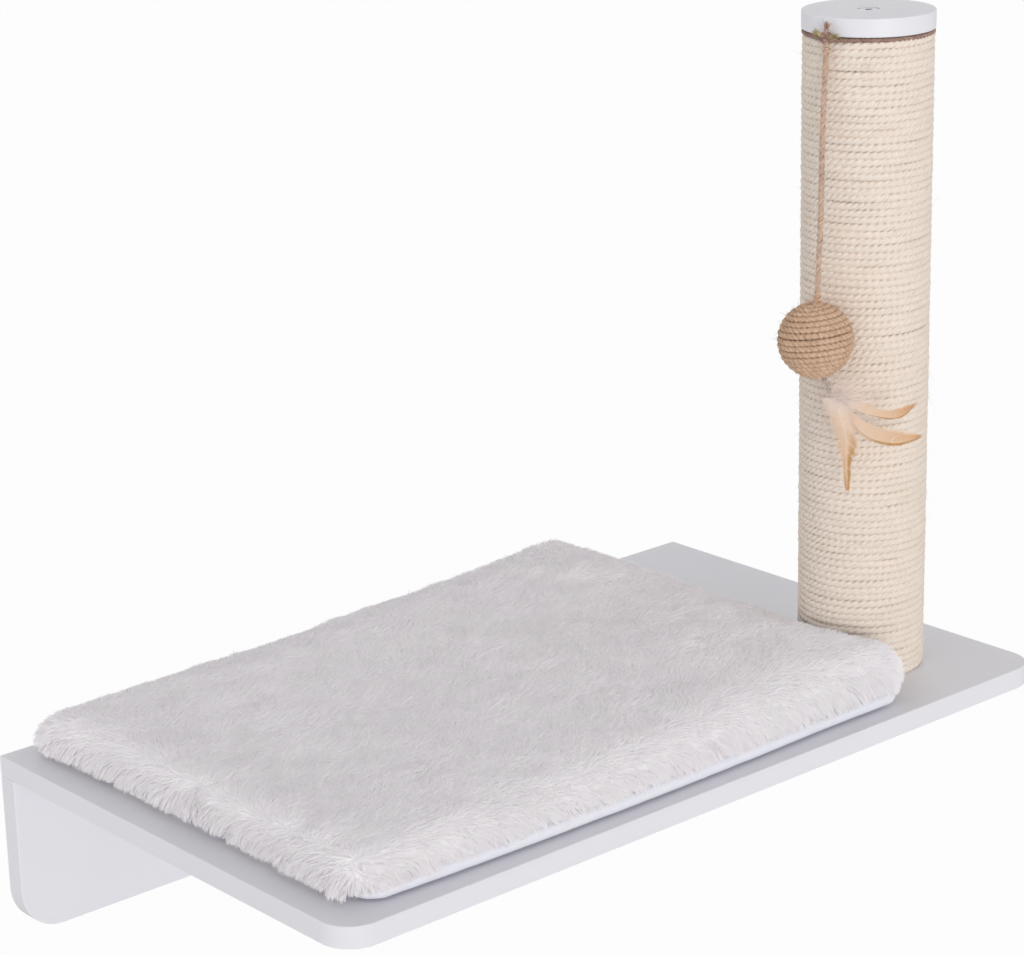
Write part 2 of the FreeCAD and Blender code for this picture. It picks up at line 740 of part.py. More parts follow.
def make_toy_collar():
    """The cord tied round the post under the cap, with its knot and its two cut ends."""
    cord = size("collar_cord_dia")
    off_tube = 1.6
    radius = size("tube_dia") / 2 + off_tube + cord / 2
    spread = math.acos(radius / knot_reach)
    centre = Vector(post_axis.x, post_axis.y, collar_z)

    def on_ring(angle):
        return centre + Vector(math.cos(angle), math.sin(angle), 0) * radius

    tip = centre + outward * knot_reach
    first, last = toy_angle + spread, toy_angle - spread + 2 * math.pi
    middle = (first + last) / 2
    edges = [
        Part.LineSegment(tip, on_ring(first)).toShape(),
        Part.Arc(on_ring(first), on_ring((first + middle) / 2), on_ring(middle)).toShape(),
        Part.Arc(on_ring(middle), on_ring((middle + last) / 2), on_ring(last)).toShape(),
        Part.LineSegment(on_ring(last), tip).toShape(),
    ]
    loop_cord = tube(edges, cord)
    knot = ball(knot_centre, size("knot_dia"))
    across = Vector(-outward.y, outward.x, 0)
    # each cut end: its start, its way, its length and its radius at the knot and at the tip
    cut_ends = (
        (knot_centre + up * 1.5, up + outward * 0.12, 8.0, 1.0, 1.9),
        (knot_centre + across * 0.8, up * 0.5 + across + outward * 0.3, 6.5, 0.9, 1.6),
    )
    tails = [Part.makeCone(near, far, length, start, way) for start, way, length, near, far in cut_ends]
    made_in_code("toy_collar", loop_cord.multiFuse([knot] + tails).removeSplitter())


def make_string_parts():
    made_in_code("string_knot", ball(string_knot_centre, size("string_knot_dia")))
    start = string_knot_centre + string_way * (size("string_knot_dia") / 2 + size("toy_gap"))
    end = ball_knot_centre - string_way * (size("ball_knot_dia") / 2 + size("toy_gap"))
    length = (end - start).Length
    sway = string_way.cross(ball_out).normalize()
    # the string's points: the share of its length, and how far it strays from a straight line
    route = [(0.0, 0.0), (0.31, 0.9), (0.67, -0.8), (1.0, 0.0)]
    points = [start + string_way * (length * share) + sway * aside for share, aside in route]
    for point in points:
        print(f"toy_string route {point.x:.1f}, {point.y:.1f}, {point.z:.1f}")
    made_in_code("toy_string", route_tube(points, size("string_dia"), "toy_string"))


def make_ball():
    """A foam ball wound with jute cord. The winding leaves a small bare round at each pole."""
    cord = size("ball_cord_dia")
    radius = (size("ball_dia") - cord) / 2
    core_gap = 0.4
    core = ball(ball_centre, size("ball_dia") - 2 * (cord + core_gap))
    pole_lean, bare_pole = math.radians(8.5), math.radians(21)
    pole = (up - sideways * math.tan(pole_lean)).normalize()
    first_side = ball_out.cross(pole).normalize()
    second_side = pole.cross(first_side)
    turns = round(2 * (math.pi - 2 * bare_pole) * radius / size("ball_pitch")) / 2
    polar_step = (math.pi - 2 * bare_pole) / turns

    def point_at(turn):
        polar = bare_pole + polar_step * turn
        angle = 2 * math.pi * turn
        level = first_side * math.cos(angle) + second_side * math.sin(angle)
        return ball_centre + (level * math.sin(polar) + pole * math.cos(polar)) * radius

    def way_at(turn):
        nudge = 1e-5
        return (point_at(turn + nudge) - point_at(turn - nudge)).normalize()

    points_per_turn = 48
    points = [point_at(step / points_per_turn) for step in range(int(turns * points_per_turn))]
    print(f"ball_winding: {turns} turns, least gap {least_gap(points, points_per_turn, cord):.2f} mm")
    made_in_code("ball_winding", tube(winding_edges(point_at, way_at, turns, 4), cord))

    # each knot has a peg of cord that goes into the ball
    peg_long, peg_slack = 11, 0.2
    knots = (
        ("ball_knot", ball_knot_centre, string_way, 1.3),
        ("feather_knot", feather_knot_centre, exit_way * -1, 0.9),
    )
    for label, centre, inward, peg_radius in knots:
        peg = Part.makeCylinder(peg_radius, peg_long, centre, inward)
        hole = Part.makeCylinder(peg_radius + peg_slack, peg_long + 2, centre, inward)
        made_in_code(label, ball(centre, size(f"{label}_dia")).fuse(peg))
        core = core.cut(hole)
        print(f"{label} centre {centre.x:.3f}, {centre.y:.3f}, {centre.z:.3f}")
    made_in_code("ball_core", core)


def feather(label, base, tip, bend, wide):
    """A thin curved blade between two arcs. Bend is the centre line's bow and wide the vane's width."""
    line = tip - base
    normal = line.cross(ball_out.cross(line)).normalize()
    aside = normal.cross(line).normalize()
    middle = base + line * 0.45
    upper = Part.Arc(base, middle + aside * (bend + wide / 2), tip).toShape()
    lower = Part.Arc(tip, middle + aside * (bend - wide / 2), base).toShape()
    face = Part.Face(Part.Wire([upper, lower]))
    thick = size("feather_thick")
    face.translate(normal * (-thick / 2))
    made_in_code(label, face.extrude(normal * thick))


def make_feathers():
    """The thread below the ball with its binding, and the feathers bound into it."""
    tie_start = feather_knot_centre + exit_way * (size("feather_knot_dia") / 2 + size("thread_gap"))
    thread_radius, binding_radius, binding_long, root_gap = 0.9, 1.6, 4.4, 0.3
    bind_start = tie_start + in_toy_plane(2.6, -3.6)
    thread_way = (bind_start - tie_start).normalize()
    thread = Part.makeCylinder(thread_radius, (bind_start - tie_start).Length, tie_start, thread_way)
    binding = Part.makeCylinder(binding_radius, binding_long, bind_start, thread_way)
    made_in_code("feather_tie", thread.fuse(binding).removeSplitter())
    root = bind_start + thread_way * (binding_long + root_gap)
    # each feather's base and tip from the root, across, up and out, its bow and its width
    feathers = {
        "feather_long": ((1.2, -0.3, 0), (57.7, -22.7, -12), -12, 12),
        "feather_upper": ((1.6, 0.4, 1.4), (56.4, 1.3, -8), -7, 10),
        "feather_lower": ((-0.8, -1, 2), (6.9, -68.9, -9), 6, 15),
        "feather_down": ((0, 0, 3.4), (34, 4, 5), 3, 20),
    }
    for label, (base, tip, bend, wide) in feathers.items():
        feather(label, root + in_toy_plane(*base), root + in_toy_plane(*tip), bend, wide)


make_shelf_board()
make_wall_board()
make_joint_screws()
make_joint_dowels()
make_post_tube()
make_plug("lower_plug", SHELF_TOP, insert_at_top=False)
make_plug("upper_plug", f"{CAP_UNDER} - sizes.plug_thick", insert_at_top=True)
make_insert("lower_insert", SHELF_TOP)
make_insert("upper_insert", f"{CAP_UNDER} - sizes.insert_long")
make_bolt("post_bolt", f"{SHELF_UNDER} - sizes.washer_thick", points_up=True)
make_post_washer()
make_top_cap()
make_bolt("cap_bolt", f"{CAP_UNDER} + sizes.cap_thick - sizes.cap_recess_deep", points_up=False)
make_sisal()
make_mat()
make_strips()
make_toy_collar()
make_string_parts()
make_ball()
make_feathers()
document.recompute()

for thing in document.Objects:
    if "Invalid" in thing.State or "Error" in thing.State:
        raise RuntimeError(f"{thing.Label} is {thing.State}")
os.makedirs("parts", exist_ok=True)
for part in parts:
    shape = part.Shape
    if shape.isNull() or not shape.isValid() or not shape.Solids:
        raise RuntimeError(f"{part.Label} has no valid solid")
    shape.exportStep(f"parts/{part.Label}.step")
    box = shape.BoundBox
    print(f"{part.Label}: {len(shape.Solids)} solid(s), {shape.Volume:.0f} mm3, "
          f"x {box.XMin:.1f} {box.XMax:.1f}, y {box.YMin:.1f} {box.YMax:.1f}, z {box.ZMin:.1f} {box.ZMax:.1f}")
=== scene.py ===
"""Looks of the wall mounted cat tree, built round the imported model.

Metres, +Z up, +X to the right along the wall, the wall at +Y.
"""
import math

import bpy
import numpy as np
from mathutils import Matrix, Vector
from mathutils.kdtree import KDTree


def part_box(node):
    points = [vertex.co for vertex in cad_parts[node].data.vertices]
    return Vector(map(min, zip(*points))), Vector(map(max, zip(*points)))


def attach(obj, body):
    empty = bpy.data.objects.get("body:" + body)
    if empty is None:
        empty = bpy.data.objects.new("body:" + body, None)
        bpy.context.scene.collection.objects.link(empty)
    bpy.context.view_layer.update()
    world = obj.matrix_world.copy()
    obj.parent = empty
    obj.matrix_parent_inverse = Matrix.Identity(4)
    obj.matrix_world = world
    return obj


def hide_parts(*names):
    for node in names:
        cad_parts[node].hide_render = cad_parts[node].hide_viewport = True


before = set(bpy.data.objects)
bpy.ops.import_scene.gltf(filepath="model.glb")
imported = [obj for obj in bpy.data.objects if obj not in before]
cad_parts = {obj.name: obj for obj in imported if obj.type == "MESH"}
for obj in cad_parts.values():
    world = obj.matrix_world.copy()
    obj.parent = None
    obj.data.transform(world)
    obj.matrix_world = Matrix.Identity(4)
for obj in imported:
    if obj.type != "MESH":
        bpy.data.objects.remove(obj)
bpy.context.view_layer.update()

MM = 0.001
UP = np.array((0.0, 0.0, 1.0))
SHELF_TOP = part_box("shelf_board")[1].z


def seeded(number):
    """A source of random numbers for one piece, the same in each run."""
    return np.random.default_rng(number)


def unit(vectors):
    return vectors / np.linalg.norm(vectors, axis=-1, keepdims=True)


def in_scene(name, data):
    """A new object of this data, linked to the scene."""
    made = bpy.data.objects.new(name, data)
    bpy.context.scene.collection.objects.link(made)
    return made


# ---- camera, light and floor
CAMERA_PLACE = (-1.220754, -1.565329, 0.810529)
CAMERA_YAW, CAMERA_PITCH, CAMERA_ROLL = 0.715, 0.306, -0.023
CAMERA_LENS, CAMERA_SENSOR = 106.05, 36
WORLD_PALE = (0.985, 0.985, 1.0, 1)
WORLD_BELOW, WORLD_ABOVE = 0.73, 0.56
LAMPS = (("key", 1.3, (-0.4, -0.92, 0.04)), ("back", 0.22, (-0.85, 0.52, 0.1)))
LAMP_WIDE = math.radians(30)
FLOOR_Z, FLOOR_HALF, FLOOR_GLOW = -1.0, 12, 0.95
WHITE = (1, 1, 1, 1)


def make_camera():
    """A camera at the photograph's place, turned by its yaw, pitch and roll."""
    data = bpy.data.cameras.new("camera")
    data.lens = CAMERA_LENS
    data.sensor_width = CAMERA_SENSOR
    turns = ((-CAMERA_YAW, "Z"), (math.pi / 2 - CAMERA_PITCH, "X"), (CAMERA_ROLL, "Z"))
    place = Matrix.Translation(CAMERA_PLACE)
    for angle, axis in turns:
        place = place @ Matrix.Rotation(angle, 4, axis)
    camera = in_scene("camera", data)
    camera.matrix_world = place
    bpy.context.scene.camera = camera


class Nodes:
    """A tree of shader nodes, with short words for the nodes used here."""

    def __init__(self, tree):
        self.tree = tree

    def node(self, kind, sockets, output=0, **settings):
        """One node, its sockets set or linked. Its output comes back."""
        made = self.tree.nodes.new("ShaderNode" + kind)
        for name, value in settings.items():
            setattr(made, name, value)
        for name, value in sockets.items():
            if isinstance(value, bpy.types.NodeSocket):
                self.tree.links.new(value, made.inputs[name])
            else:
                made.inputs[name].default_value = value
        return made.outputs[output]

    def spread(self, value, low, high, to_low=0.0, to_high=1.0):
        """The value from low to high, stretched to the second pair and kept within it."""
        return self.node("MapRange", {
            "Value": value, "From Min": low, "From Max": high, "To Min": to_low, "To Max": to_high})

    def between(self, first, second, share):
        """Two colours mixed by a share."""
        first, second = ((*colour, 1) if isinstance(colour, tuple) else colour for colour in (first, second))
        return self.node("Mix", {"Factor": share, 6: first, 7: second}, 2, data_type="RGBA")

    def finish_with(self, share, first, second, owner):
        """Two shaders mixed by a share, on the owner's surface."""
        mixed = self.node("MixShader", {0: share, 1: first, 2: second})
        self.tree.links.new(mixed, self.tree.nodes[owner + " Output"].inputs["Surface"])


class Finish(Nodes):
    """A material made of nodes."""

    def __init__(self, name, **settings):
        self.material = bpy.data.materials.new(name)
        self.material.use_nodes = True
        super().__init__(self.material.node_tree)
        self.shader = self.tree.nodes["Principled BSDF"]
        for socket, value in settings.items():
            self.shader.inputs[socket.replace("_", " ")].default_value = value

    def place(self, kind="Object", stretch=(1, 1, 1), turn=0):
        """Places in metres, in the piece's own frame or along its map, stretched per axis, turned about Z."""
        point = self.node("TexCoord", {}, kind)
        return self.node("Mapping", {"Vector": point, "Scale": stretch, "Rotation": (0, 0, turn)})

    def noise(self, scale, detail=3.0, roughness=0.5, place=None):
        return self.node("TexNoise", {
            "Vector": place or self.place(), "Scale": scale, "Detail": detail, "Roughness": roughness})

    def streaks(self, along, across, detail=2.0, roughness=0.5):
        """Noise on the map, so fine along and so fine across a cord or a vane."""
        return self.noise(1, detail, roughness, self.place("UV", (along, across, 1)))

    def set(self, name, value):
        self.tree.links.new(value, self.shader.inputs[name])

    def bump(self, height, strength, depth):
        self.set("Normal", self.node("Bump", {"Height": height, "Strength": strength, "Distance": depth}))


def make_world():
    """A pale light all round, a little less from overhead, which cameras and reflections see as white."""
    world = bpy.data.worlds.new("studio")
    world.use_nodes = True
    nodes = Nodes(world.node_tree)
    lit = nodes.tree.nodes["Background"]
    lit.inputs["Color"].default_value = WORLD_PALE
    height = nodes.node("SeparateXYZ", {0: nodes.node("TexCoord", {}, "Generated")}, "Z")
    nodes.tree.links.new(nodes.spread(height, 0, 1, WORLD_BELOW, WORLD_ABOVE), lit.inputs["Strength"])
    seen = nodes.node("LightPath", {}, "Is Camera Ray")
    for kind in ("Is Glossy Ray", "Is Transmission Ray"):
        seen = nodes.node("Math", {0: seen, 1: nodes.node("LightPath", {}, kind)}, operation="MAXIMUM")
    nodes.finish_with(seen, lit.outputs[0], nodes.node("Background", {"Color": WHITE}), "World")
    bpy.context.scene.world = world
    bpy.context.scene.view_settings.view_transform = "Standard"


def make_lights():
    """A broad soft light from the front, a little to the left, and a weak one from behind the left."""
    for name, energy, way in LAMPS:
        data = bpy.data.lights.new(name, "SUN")
        data.energy = energy
        data.angle = LAMP_WIDE
        data.color = (1.0, 0.995, 0.985)
        lamp = in_scene(name, data)
        lamp.rotation_mode = "QUATERNION"
        lamp.rotation_quaternion = Vector(way).to_track_quat("Z", "Y")


def make_floor():
    """A plain pale floor well below the shelf, which cameras see as almost white."""
    mesh = bpy.data.meshes.new("floor")
    corners = [(x * FLOOR_HALF, y * FLOOR_HALF, FLOOR_Z) for x, y in ((-1, -1), (1, -1), (1, 1), (-1, 1))]
    mesh.from_pydata(corners, [], [(0, 1, 2, 3)])
    finish = Finish("pale_floor", Roughness=0.9, Base_Color=(0.9, 0.9, 0.9, 1))
    seen = finish.node("LightPath", {}, "Is Camera Ray")
    glow = finish.node("Emission", {"Color": WHITE})
    finish.finish_with(finish.spread(seen, 0, 1, 0, FLOOR_GLOW), finish.shader.outputs[0], glow, "Material")
    mesh.materials.append(finish.material)
    in_scene("floor", mesh)


# ---- finishes
def board_finish():
    """White foil on board, a little uneven in gloss."""
    finish = Finish("white_foil", Specular_IOR_Level=0.4)
    cloudy = finish.noise(14)
    finish.set("Base Color", finish.between((0.815, 0.81, 0.85), (0.845, 0.84, 0.875), cloudy))
    finish.set("Roughness", finish.spread(finish.noise(90), 0.3, 0.7, 0.34, 0.46))
    finish.bump(finish.noise(1500, 2), 0.06, 0.1 * MM)
    return finish.material


def cord_finish(name, pale, middle, dark, fleck_from, roughness=0.75, relief=0.35):
    """Plant fibres laid along a cord: streaks, paler and darker yarns and a few dark flecks."""
    finish = Finish(name, Roughness=roughness, Specular_IOR_Level=0.25)
    fibres = finish.streaks(110, 3200, 4, 0.6)
    yarns = finish.streaks(35, 260)
    flecks = finish.streaks(150, 1500)
    worn = finish.noise(60, 2)
    colour = finish.between(middle, pale, finish.spread(fibres, 0.34, 0.62))
    colour = finish.between(colour, pale, finish.spread(yarns, 0.45, 0.72, 0, 0.7))
    colour = finish.between(colour, middle, finish.spread(worn, 0.5, 0.75, 0, 0.55))
    colour = finish.between(colour, dark, finish.spread(flecks, fleck_from, fleck_from + 0.06, 0, 0.8))
    finish.set("Base Color", colour)
    finish.bump(fibres, relief, 0.35 * MM)
    return finish.material


def pile_finish():
    """Plush fibres, almost white, in soft clouds of warmer and cooler white."""
    finish = Finish("plush_pile", Roughness=0.9, Specular_IOR_Level=0.2)
    clouds = finish.noise(16, 3, 0.6)
    tufts = finish.noise(170, 2)
    colour = finish.between((0.98, 0.945, 0.97), (0.985, 0.96, 0.975), finish.spread(clouds, 0.35, 0.65))
    finish.set("Base Color", finish.between(colour, (0.99, 0.975, 0.975), finish.spread(tufts, 0.45, 0.7)))
    return finish.material


def woven_finish(name, colour, threads, depth):
    """A plain weave in one colour, a little uneven, with about so many threads to the metre."""
    finish = Finish(name, Roughness=0.6, Sheen_Weight=0.1)
    first, second = (
        finish.node("TexWave", {"Vector": finish.place(turn=turn), "Scale": threads / 6.3, "Distortion": 0.6})
        for turn in (0, math.pi / 2))
    crossed = finish.node("Math", {0: first, 1: second}, operation="MULTIPLY")
    shade = tuple(part * 0.93 for part in colour)
    finish.set("Base Color", finish.between(shade, colour, finish.noise(120)))
    finish.bump(crossed, 0.3, depth)
    return finish.material


def steel_finish(name, pale, dark, roughness):
    """Plated steel with fine scratches."""
    finish = Finish(name, Metallic=1.0)
    cloudy = finish.noise(300)
    finish.set("Base Color", finish.between(dark, pale, cloudy))
    scratches = finish.noise(1, 2, place=finish.place(stretch=(4000, 400, 400)))
    finish.set("Roughness", finish.spread(scratches, 0.3, 0.7, roughness - 0.08, roughness + 0.08))
    return finish.material


def grain_finish(name, pale, dark, stretch, scale, roughness=0.7, depth=0.1 * MM):
    """Wood, card, board or foam: one noise, stretched along the grain."""
    finish = Finish(name, Roughness=roughness)
    grain = finish.noise(scale, 4, 0.6, finish.place(stretch=stretch))
    finish.set("Base Color", finish.between(dark, pale, finish.spread(grain, 0.35, 0.65)))
    finish.bump(grain, 0.3, depth)
    return finish.material


VANE_COLOURS = (
    (0.0, (0.93, 0.78, 0.69)), (0.25, (0.92, 0.70, 0.53)), (0.6, (0.90, 0.63, 0.42)),
    (0.85, (0.86, 0.54, 0.29)), (1.0, (0.62, 0.30, 0.10)))


def feather_finish():
    """A vane that goes from pinkish white at its root to peach, with a deeper lower rim and tip."""
    finish = Finish("feather_vane", Roughness=0.6, Specular_IOR_Level=0.3, Sheen_Weight=0.2)
    along, across = (finish.node("SeparateXYZ", {0: finish.place("UV")}, axis) for axis in "XY")
    ramp = finish.node("ValToRGB", {"Fac": along})
    stops = ramp.node.color_ramp.elements
    for number, (at, colour) in enumerate(VANE_COLOURS):
        stop = stops[number] if number < 2 else stops.new(at)
        stop.position = at
        stop.color = (*colour, 1)
    streaks = finish.streaks(60, 8, 3)
    colour = finish.between(ramp, (0.93, 0.84, 0.77), finish.spread(streaks, 0.5, 0.8, 0, 0.5))
    rim, outer = finish.spread(across, -0.05, -0.6), finish.spread(along, 0.3, 0.6, 0, 0.85)
    deep = finish.node("Math", {0: rim, 1: outer}, operation="MULTIPLY")
    finish.set("Base Color", finish.between(colour, (0.56, 0.28, 0.07), deep))
    return finish.material


def down_finish():
    finish = Finish("down", Roughness=0.8)
    clouds = finish.noise(90)
    finish.set("Base Color", finish.between((0.98, 0.82, 0.73), (0.99, 0.89, 0.83), clouds))
    return finish.material


# ---- meshes
def ring_faces(rings, corners):
    """Quads between rings of points, one ring after the other, and the two caps."""
    low = np.repeat(np.arange(rings - 1) * corners, corners)
    corner = np.tile(np.arange(corners), rings - 1)
    after = (corner + 1) % corners
    quads = np.stack([low + corner, low + after, low + corners + after, low + corners + corner], 1)
    first = np.arange(corners)
    return quads, np.stack([first[::-1], first + (rings - 1) * corners])


class Shape:
    """Gathers the points, faces and map places of one mesh."""

    def __init__(self):
        self.points, self.faces, self.places = [], [], []
        self.count = 0

    def add(self, points, faces, places):
        """Points (n x 3), face arrays (each m x corners) and their corners' map places in metres."""
        self.points.append(points)
        self.faces += [face + self.count for face in faces]
        self.places += places
        self.count += len(points)

    def tube(self, line, outline, turn=0.0, widths=None, sides=None, press=(1, 1, 1)):
        """A closed tube: an outline carried along a line, turned by an angle per metre or for each ring.

        Sides are its two side ways at each ring. Press scales it along the first, against the first
        and along the second.
        """
        over_way, up_way = sides or carried_frame(line)[1:]
        along = np.append(0, np.cumsum(np.linalg.norm(np.diff(line, axis=0), axis=1)))
        angle = (turn if np.ndim(turn) else turn * along)[:, None]
        wide = np.ones((len(line), 1)) if widths is None else np.asarray(widths)[:, None]
        over = (outline[:, 0] * np.cos(angle) - outline[:, 1] * np.sin(angle)) * wide
        rise = (outline[:, 0] * np.sin(angle) + outline[:, 1] * np.cos(angle)) * wide * press[2]
        over = over * np.where(over > 0, press[0], press[1])
        points = line[:, None] + over[..., None] * over_way[:, None] + rise[..., None] * up_way[:, None]
        corners = len(outline)
        quads, caps = ring_faces(len(line), corners)
        round_once = np.linalg.norm(np.roll(outline, -1, 0) - outline, axis=1).sum()
        across = (quads[:, :1] % corners + (0, 1, 1, 0)) * round_once / corners
        places = np.stack([along[quads // corners], across], -1)
        self.add(points.reshape(-1, 3), [quads, caps], [places, np.zeros((2, corners, 2))])

    def blades(self, lines, sides, half_widths, places=None):
        """Thin flat blades: lines (n x k x 3), one side way each (n x 3) and half widths (n x k).

        A blade ends in one point, so its last half width isn't used.
        """
        count, steps = lines.shape[:2]
        edge = sides[:, None] * half_widths[..., None]
        pairs = np.stack([lines - edge, lines + edge], 2)[:, :-1].reshape(count, -1, 3)
        points = np.concatenate([pairs, lines[:, -1:]], 1)
        each = 2 * (steps - 1) + 1
        start = np.arange(count)[:, None] * each
        quads = [start + np.array([2 * k, 2 * k + 1, 2 * k + 3, 2 * k + 2]) for k in range(steps - 2)]
        quads = np.concatenate(quads)
        tips = start + np.array([each - 3, each - 2, each - 1])
        if places is None:
            at = np.linalg.norm(points - lines[:, :1], axis=-1)
            places = np.stack([at, np.zeros_like(at)], -1)
        flat = places.reshape(-1, 2)
        self.add(points.reshape(-1, 3), [quads, tips], [flat[quads], flat[tips]])

    def make(self, name, body, material, slot, replaces=()):
        """The finished piece, riding on a body."""
        mesh = bpy.data.meshes.new(name)
        points = np.concatenate(self.points)
        corners = np.concatenate([face.ravel() for face in self.faces])
        sizes = np.concatenate([np.full(len(face), face.shape[1]) for face in self.faces])
        mesh.vertices.add(len(points))
        mesh.vertices.foreach_set("co", points.astype(np.float32).ravel())
        mesh.loops.add(len(corners))
        mesh.loops.foreach_set("vertex_index", corners.astype(np.int32))
        mesh.polygons.add(len(sizes))
        mesh.polygons.foreach_set("loop_start", (np.cumsum(sizes) - sizes).astype(np.int32))
        mesh.update(calc_edges=True)
        places = np.concatenate([place.reshape(-1, 2) for place in self.places])
        layer = mesh.uv_layers.new(name="UVMap")
        layer.uv.foreach_set("vector", places.astype(np.float32).ravel())
        return keep(in_scene(name, mesh), body, material, replaces)


def dress(mesh, material):
    """Gives a mesh its one material."""
    mesh.materials.clear()
    mesh.materials.append(material)


def keep(piece, body, material, replaces=()):
    """Gives a piece its finish and body, and hides the nodes that it stands for."""
    dress(piece.data, material)
    piece.data.polygons.foreach_set("use_smooth", np.ones(len(piece.data.polygons), bool))
    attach(piece, body)
    if replaces:
        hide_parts(*replaces)
    return piece


def side_ways(axis, helper):
    """Two ways across an axis, the first one also across the helper."""
    side = unit(np.cross(axis, helper))
    return side, np.cross(axis, side)


def evaluated(piece):
    """A new mesh of the piece with its modifiers applied."""
    graph = bpy.context.evaluated_depsgraph_get()
    return bpy.data.meshes.new_from_object(piece.evaluated_get(graph))


def rows(parts, field, kind=np.float32):
    """A field of a mesh's parts, three numbers to a row."""
    found = np.empty(len(parts) * 3, kind)
    parts.foreach_get(field, found)
    return found.reshape(-1, 3)


def carried_frame(line):
    """The way along a line, and two side ways carried along it without turning about it."""
    ways = unit(np.gradient(line, axis=0))
    helper = UP if abs(ways[0] @ UP) < 0.9 else np.array((1.0, 0, 0))
    side = np.cross(helper, ways[0])
    sides = np.empty_like(line)
    for index, way in enumerate(ways):
        side = side - way * (side @ way)
        side = side / math.sqrt(side @ side)
        sides[index] = side
    return ways, sides, np.cross(ways, sides)


def lobed(radius, strands, valley, corners):
    """The outline of a twisted cord of so many strands. Valley is the groove's share of the radius."""
    angle = np.arange(corners) / corners * math.tau
    reach = radius * (valley + (1 - valley) * np.abs(np.cos(angle * strands / 2)) ** 0.7)
    return np.stack([reach * np.cos(angle), reach * np.sin(angle)], 1)


def twist(lay):
    """A cord's turn per metre, from its lay in millimetres."""
    return math.tau / (lay * MM)


def eased(share):
    """A share from 0 to 1 that starts and ends level."""
    return share * share * (3 - 2 * share)


def wander(places, wavelength, random):
    """A smooth random value from -1 to 1 along a line, at places in the same unit as the wavelength."""
    knots = random.uniform(-1, 1, int(places.max() / wavelength) + 3)
    at = places / wavelength
    low = np.floor(at).astype(int)
    share = eased(at - low)
    return knots[low] * (1 - share) + knots[low + 1] * share


def cloudy(x, y, wavelength, random):
    """A smooth random value from -1 to 1 over the plan."""
    cells = 64
    grid = random.uniform(-1, 1, (cells, cells))
    u, v = x / wavelength + 20.3, y / wavelength + 24.7
    i, j = np.floor(u).astype(int), np.floor(v).astype(int)
    a, b = eased(u - i), eased(v - j)
    i, j, ii, jj = i % cells, j % cells, (i + 1) % cells, (j + 1) % cells
    low = grid[i, j] * (1 - a) + grid[ii, j] * a
    high = grid[i, jj] * (1 - a) + grid[ii, jj] * a
    return low * (1 - b) + high * b


def smooth_line(points, count):
    """A smooth line through a few points, by evenly spaced steps of a Catmull-Rom spline."""
    points = np.asarray(points, float)
    ends = np.concatenate([[2 * points[0] - points[1]], points, [2 * points[-1] - points[-2]]])
    at = np.linspace(0, len(points) - 1, count)
    low = np.minimum(at.astype(int), len(points) - 2)
    t = (at - low)[:, None]
    a, b, c, d = (ends[low + k] for k in range(4))
    square, cube = 2 * a - 5 * b + 4 * c - d, 3 * b - a - 3 * c + d
    return 0.5 * (2 * b + (c - a) * t + square * t ** 2 + cube * t ** 3)


THREAD = lobed(1.0, 1, 1.0, 3)


def make_fuzz(piece, starts, ways, lifts, lengths, thickness, random):
    """Makes a piece of short bent fibres that leave a cord along its surface and lift off at one end."""
    shape = Shape()
    share = np.linspace(0, 1, 5)[:, None]
    for start, way, lift, length in zip(starts, ways, lifts, lengths):
        bend = random.normal(0, 0.25, 3)
        line = start + length * (way * share + (lift * 0.45 + bend * 0.4) * share ** 2)
        shape.tube(line, THREAD * thickness, widths=(0.6, 1, 0.9, 0.7, 0.15))
    shape.make(*piece)


# ---- the toy's frame
POST = np.array((218.0, -266.0, 0.0)) * MM
BALL = np.array((152.7, -283.3, 308.0)) * MM
BALL_RADIUS = 24.7 * MM
TOY_TURN, KNOT_REACH, KNOT_HIGH = math.radians(-172), 46.9 * MM, 498.5 * MM
knot_out = np.array((math.cos(TOY_TURN), math.sin(TOY_TURN), 0))
KNOT = POST + knot_out * KNOT_REACH + UP * KNOT_HIGH
STRING_KNOT = KNOT - UP * 7.6 * MM
STRING_ROUTE = [
    (171.3, -272.7, 488.0), (166.2, -274.6, 441.3), (161.1, -279.4, 387.3), (155.8, -281.6, 337.6)]
STRING_LONG, STRING_WIDE, STRING_TWIST = 151.4 * MM, 4.0 * MM, twist(9.5)
ball_out = unit((BALL - POST) * (1, 1, 0))
sideways = np.array((-ball_out[1], ball_out[0], 0))
string_way = unit(BALL - STRING_KNOT)
BALL_KNOT = BALL - string_way * (BALL_RADIUS + 2.5 * MM)
exit_way = unit(sideways * math.tan(math.radians(14)) - UP)
FEATHER_KNOT = BALL + exit_way * (BALL_RADIUS + 1.8 * MM)
TIE_START = FEATHER_KNOT + exit_way * 2.1 * MM
BIND_START = TIE_START + (sideways * 2.6 - UP * 3.6) * MM
thread_way = unit(BIND_START - TIE_START)
ROOT = BIND_START + thread_way * 4.7 * MM


def from_root(places):
    """Places from the feathers' root, given across, up and away from the post in millimetres."""
    across, rise, out = np.asarray(places, float).T[..., None]
    return ROOT + (sideways * across + UP * rise + ball_out * out) * MM


